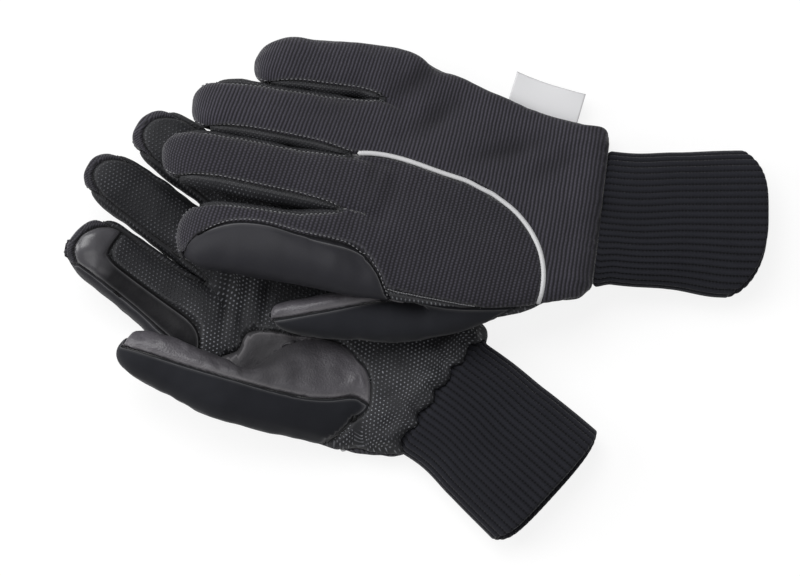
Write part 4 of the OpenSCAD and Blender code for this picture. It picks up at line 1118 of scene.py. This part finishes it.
knit, tree, shader = new_finish("rib_knit", Roughness=0.92, Specular_IOR_Level=0.2, Sheen_Weight=0.2,
                                Sheen_Roughness=0.4)
place = parts_of(cloth_map(tree))
rib, loop = humped(place["X"], rib_pitch), humped(place["Y"], loop_pitch)
yarn = group_in(tree, fuzz, Scale=1500.0)
# the colour follows the knit: painted light on the ribs, painted shade in the valleys and in the knit holes
hole = math("MULTIPLY", math("POWER", math("SUBTRACT", 1.0, rib), 2.0), math("POWER", loop, 2.0))
body = math("MULTIPLY", math("MULTIPLY_ADD", math("POWER", rib, 0.7), 0.6, 0.4),
            math("MULTIPLY_ADD", yarn["Tone"], 1.1, 0.25))
tone = math("MULTIPLY", body, math("MULTIPLY_ADD", hole, -0.95, 1.0))
linked(shader, Base_Color=blended(tone, (0.0012, 0.0012, 0.0018), (0.0165, 0.017, 0.023)))
bumped(shader, math("MULTIPLY_ADD", hole, -1.2, yarn["Height"]), 0.6, 0.0004)
for glove in (RIGHT, LEFT):
    points, uv = cuff_skin(glove)
    faces = tube_faces(*points.shape[:2])
    faces = faces if glove == RIGHT else faces[:, ::-1]
    points = points.reshape(-1, 3)
    points[:, 2] = np.maximum(points[:, 2], 0.1)
    cuff = put_mesh(f"{NAMES[glove]}_knit_cuff", points, faces, uv=uv.reshape(-1, 2))
    dress(glove, cuff, knit, "cuff")

# Label tab: a bare white woven tape, folded double and caught by its two ends in the little finger's
# side seam of the right glove, standing out from the edge.
label_cloth, tree, shader = new_finish("label_cloth", Roughness=0.8, Specular_IOR_Level=0.3)
place = parts_of(cloth_map(tree))
warp, weft = (math("SINE", math("MULTIPLY", place[key], 6.2832 / 0.0005)) for key in "XY")
woven = math("MULTIPLY_ADD", math("MULTIPLY", warp, weft), 0.5, 0.5)
linked(shader, Base_Color=blended(woven, (0.6, 0.6, 0.615), (0.7, 0.7, 0.71)))
bumped(shader, woven, 0.3, 0.0001)
label_from, label_to, label_reach, label_tuck = 16, 49, 14.6, 1.5
label_slant, label_gap = 0.17, 0.3
label_out = label_reach + label_tuck
f, run = np.meshgrid(np.linspace(0, 1, 41), np.linspace(-1, 1, 65), indexing="ij")
edge = hand_at(RIGHT, np.full((41, 1), -1.0), mix(label_from, label_to, f[:, :1]) / slot_a[LITTLE + 1], 1, 0)
bow = np.clip(np.abs(run) * label_out / (label_gap * np.pi / 2), 0, 1)
stand = label_out * (1 - np.abs(run)) - label_tuck
stand = np.where(bow < 1, label_reach - label_gap * (1 - np.cos(np.pi / 2 * bow)), stand)
layer = label_gap * np.sign(run) * np.sin(np.pi / 2 * bow)
wave = 0.5 * np.sin(5.5 * f + 0.6) * (np.maximum(0, stand) / label_reach) ** 2 - 0.1 * stand
tape = laid(RIGHT, np.stack([edge[..., 0] - label_slant * stand, edge[..., 1] - stand, wave + layer], -1), 0)
uv = np.stack([f * (label_to - label_from), run * label_out], -1)
k = np.arange(f.size).reshape(f.shape)
faces = np.stack([k[:-1, :-1], k[1:, :-1], k[1:, 1:], k[:-1, 1:]], -1).reshape(-1, 4)
tab = put_mesh("right_white_tab", tape.reshape(-1, 3), faces, uv=uv.reshape(-1, 2))
wall_of(tab, 0.22)
tab.data.materials.append(label_cloth)
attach(tab, "label_tab")
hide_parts("right_label_tab")

# Stitching: grey thread in short straight stitches beside the seams of the finger backs, round the
# leaf panel of the index finger and along the edge of the palm cloth on the thumb side.
stitch_pitch, edge_pitch, stitch_half, stitch_radius = 2.1, 1.25, 0.62, 0.24
stitch_rise, stitch_floor = 0.32, 0.3
ring_turn = np.linspace(0, 2 * np.pi, 6, endpoint=False)
ring_share = np.array([(-1, 0.15), (-0.7, 0.85), (0, 1), (0.7, 0.85), (1, 0.15)])
stitch_form = np.stack([np.repeat(ring_share[:, :1] * stitch_half, 6, 1),
                        ring_share[:, 1:] * np.cos(ring_turn) * stitch_radius,
                        ring_share[:, 1:] * np.sin(ring_turn) * stitch_radius], -1).reshape(-1, 3)
stitch_faces = tube_faces(5, 6)


def beside(skin, ids, inside, offset):
    """A row of seam points set off towards the points inside it; gives the line and its normals."""
    points, normal = skin["points"][ids], skin["normal"][ids]
    return points + offset * unit(skin["points"][inside] - points), normal


def stitch_line(line, normal, trim, pitch=stitch_pitch):
    """Stitches in even steps along a line, each with its own way ahead, side and up."""
    place, up, ahead = stepped(line + stitch_rise * normal, normal, pitch, trim)
    place[:, 2] = np.maximum(place[:, 2], stitch_floor)
    side = unit(np.cross(up, ahead))
    axes = np.stack([ahead, side, np.cross(ahead, side)], 1)
    return place[:, None] + stitch_form @ axes


# finger, column of the seam, column inside it, distance from the seam, and where the row stops
sewn_rows = ((MIDDLE, 0, 3, 0.9, 0.9), (RING, 0, 3, 0.9, 0.9), (LITTLE, 0, 3, 0.9, 0.9),
             (INDEX, 28, 25, 0.9, 0.9), (MIDDLE, 26, 23, 0.9, 0.9), (RING, 26, 23, 0.9, 0.9),
             (INDEX, 12, 15, 1.0, 0.97))
thread = spun("grey_thread", (0.06, 0.06, 0.065), (0.28, 0.28, 0.295), 3000.0, Roughness=0.6)
for glove in (RIGHT, LEFT):
    rows = []
    for i, column, inside, offset, stop in sewn_rows:
        g = shells[glove]["grids"][f"finger{i}"]
        rows.append(stitch_line(*beside(shells[glove], g[:, column], g[:, inside], offset), (0.01, stop)))
    v = np.linspace(leaf_share, 1, 60)
    rows.append(stitch_line(*drawn_on(glove, v, np.minimum(0.995, through(leaf_hand, v) - 0.016)), (0.01, 1)))
    v = np.linspace(palm_edge[0, 0], leaf_share, 60)
    rows.append(stitch_line(*drawn_on(glove, v, through(palm_edge, v) - 0.003), (0.1, 1), edge_pitch))
    points = np.concatenate(rows)
    faces = (stitch_faces[None] + np.arange(len(points))[:, None, None] * len(stitch_form)).reshape(-1, 4)
    stitching = put_mesh(f"{NAMES[glove]}_stitching", points.reshape(-1, 3), faces)
    stitching.data.materials.append(thread)
    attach(stitching, f"{NAMES[glove]}_glove")

# Floor, light and camera: a plain pale floor that stays white to the camera and keeps the shadow, a
# large soft light overhead, and a long lens at the photograph's angle.
bpy.ops.mesh.primitive_plane_add(size=20, location=(0, 0, 0))
floor = bpy.context.object
floor.name = "floor"
material = bpy.data.materials.new("pale_floor")
material.use_nodes = True
tree = material.node_tree
tree.nodes.remove(tree.nodes["Principled BSDF"])
rays = node(tree, "LightPath").outputs
straight = math("ADD", rays["Is Camera Ray"], rays["Is Glossy Ray"])
seen = math("MINIMUM", math("ADD", straight, rays["Is Transmission Ray"]), 1.0)
diffuse = node(tree, "BsdfDiffuse", {"Color": (0.85, 0.85, 0.85, 1)})
glow = node(tree, "Emission", {"Color": (1, 1, 1, 1), "Strength": 1.06})
mixed = node(tree, "MixShader", {0: math("MULTIPLY", seen, 0.8), 1: diffuse.outputs[0], 2: glow.outputs[0]})
linked(tree.nodes["Material Output"], Surface=mixed.outputs[0])
floor.data.materials.append(material)

world = bpy.data.worlds.new("studio")
bpy.context.scene.world = world
world.use_nodes = True
tree = world.node_tree
background = tree.nodes["Background"]
rays = node(tree, "LightPath").outputs
seen = math("MAXIMUM", rays["Is Camera Ray"], rays["Is Transmission Ray"])
background.inputs["Color"].default_value = (1, 1, 1, 1)
linked(background, Strength=math("MULTIPLY_ADD", seen, 0.74, 0.26))


def soft_light(name, place, aim, size, power):
    """A square soft light at a place, turned to its aim; places in metres, power in watts."""
    lamp = bpy.data.lights.new(name, "AREA")
    lamp.size, lamp.energy = size, power
    held = bpy.data.objects.new(name, lamp)
    bpy.context.scene.collection.objects.link(held)
    held.location = place
    way = np.array(aim) - np.array(place)
    flat = np.hypot(way[0], way[1])
    held.rotation_euler = (np.arctan2(flat, -way[2]), 0, np.arctan2(-way[0], way[1]))
    return held


soft_light("overhead", (-0.35, 0.6, 1.45), (0, 0, 0), 1.0, 17)
soft_light("left", (-1.4, 0.25, 0.8), (0, 0, 0), 0.9, 13)
soft_light("front", (0.6, -1.1, 1.3), (0, 0, 0), 0.9, 4)

photo_width, photo_scale, film_width = 800, 2.15, 36
middle = np.array((-5.3, 3.3, 0)) * MM
elevation, distance = np.radians(80), 6.0
camera = bpy.data.objects.new("camera", bpy.data.cameras.new("camera"))
bpy.context.scene.collection.objects.link(camera)
camera.location = middle + distance * np.array((0, -np.cos(elevation), np.sin(elevation)))
camera.rotation_euler = (np.pi / 2 - elevation, 0, 0)
camera.data.sensor_width = film_width
camera.data.lens = film_width * distance / (photo_width / photo_scale * MM)
camera.data.clip_end = 100
bpy.context.scene.camera = camera
bpy.context.scene.view_settings.view_transform = "Standard"

bpy.context.view_layer.update()
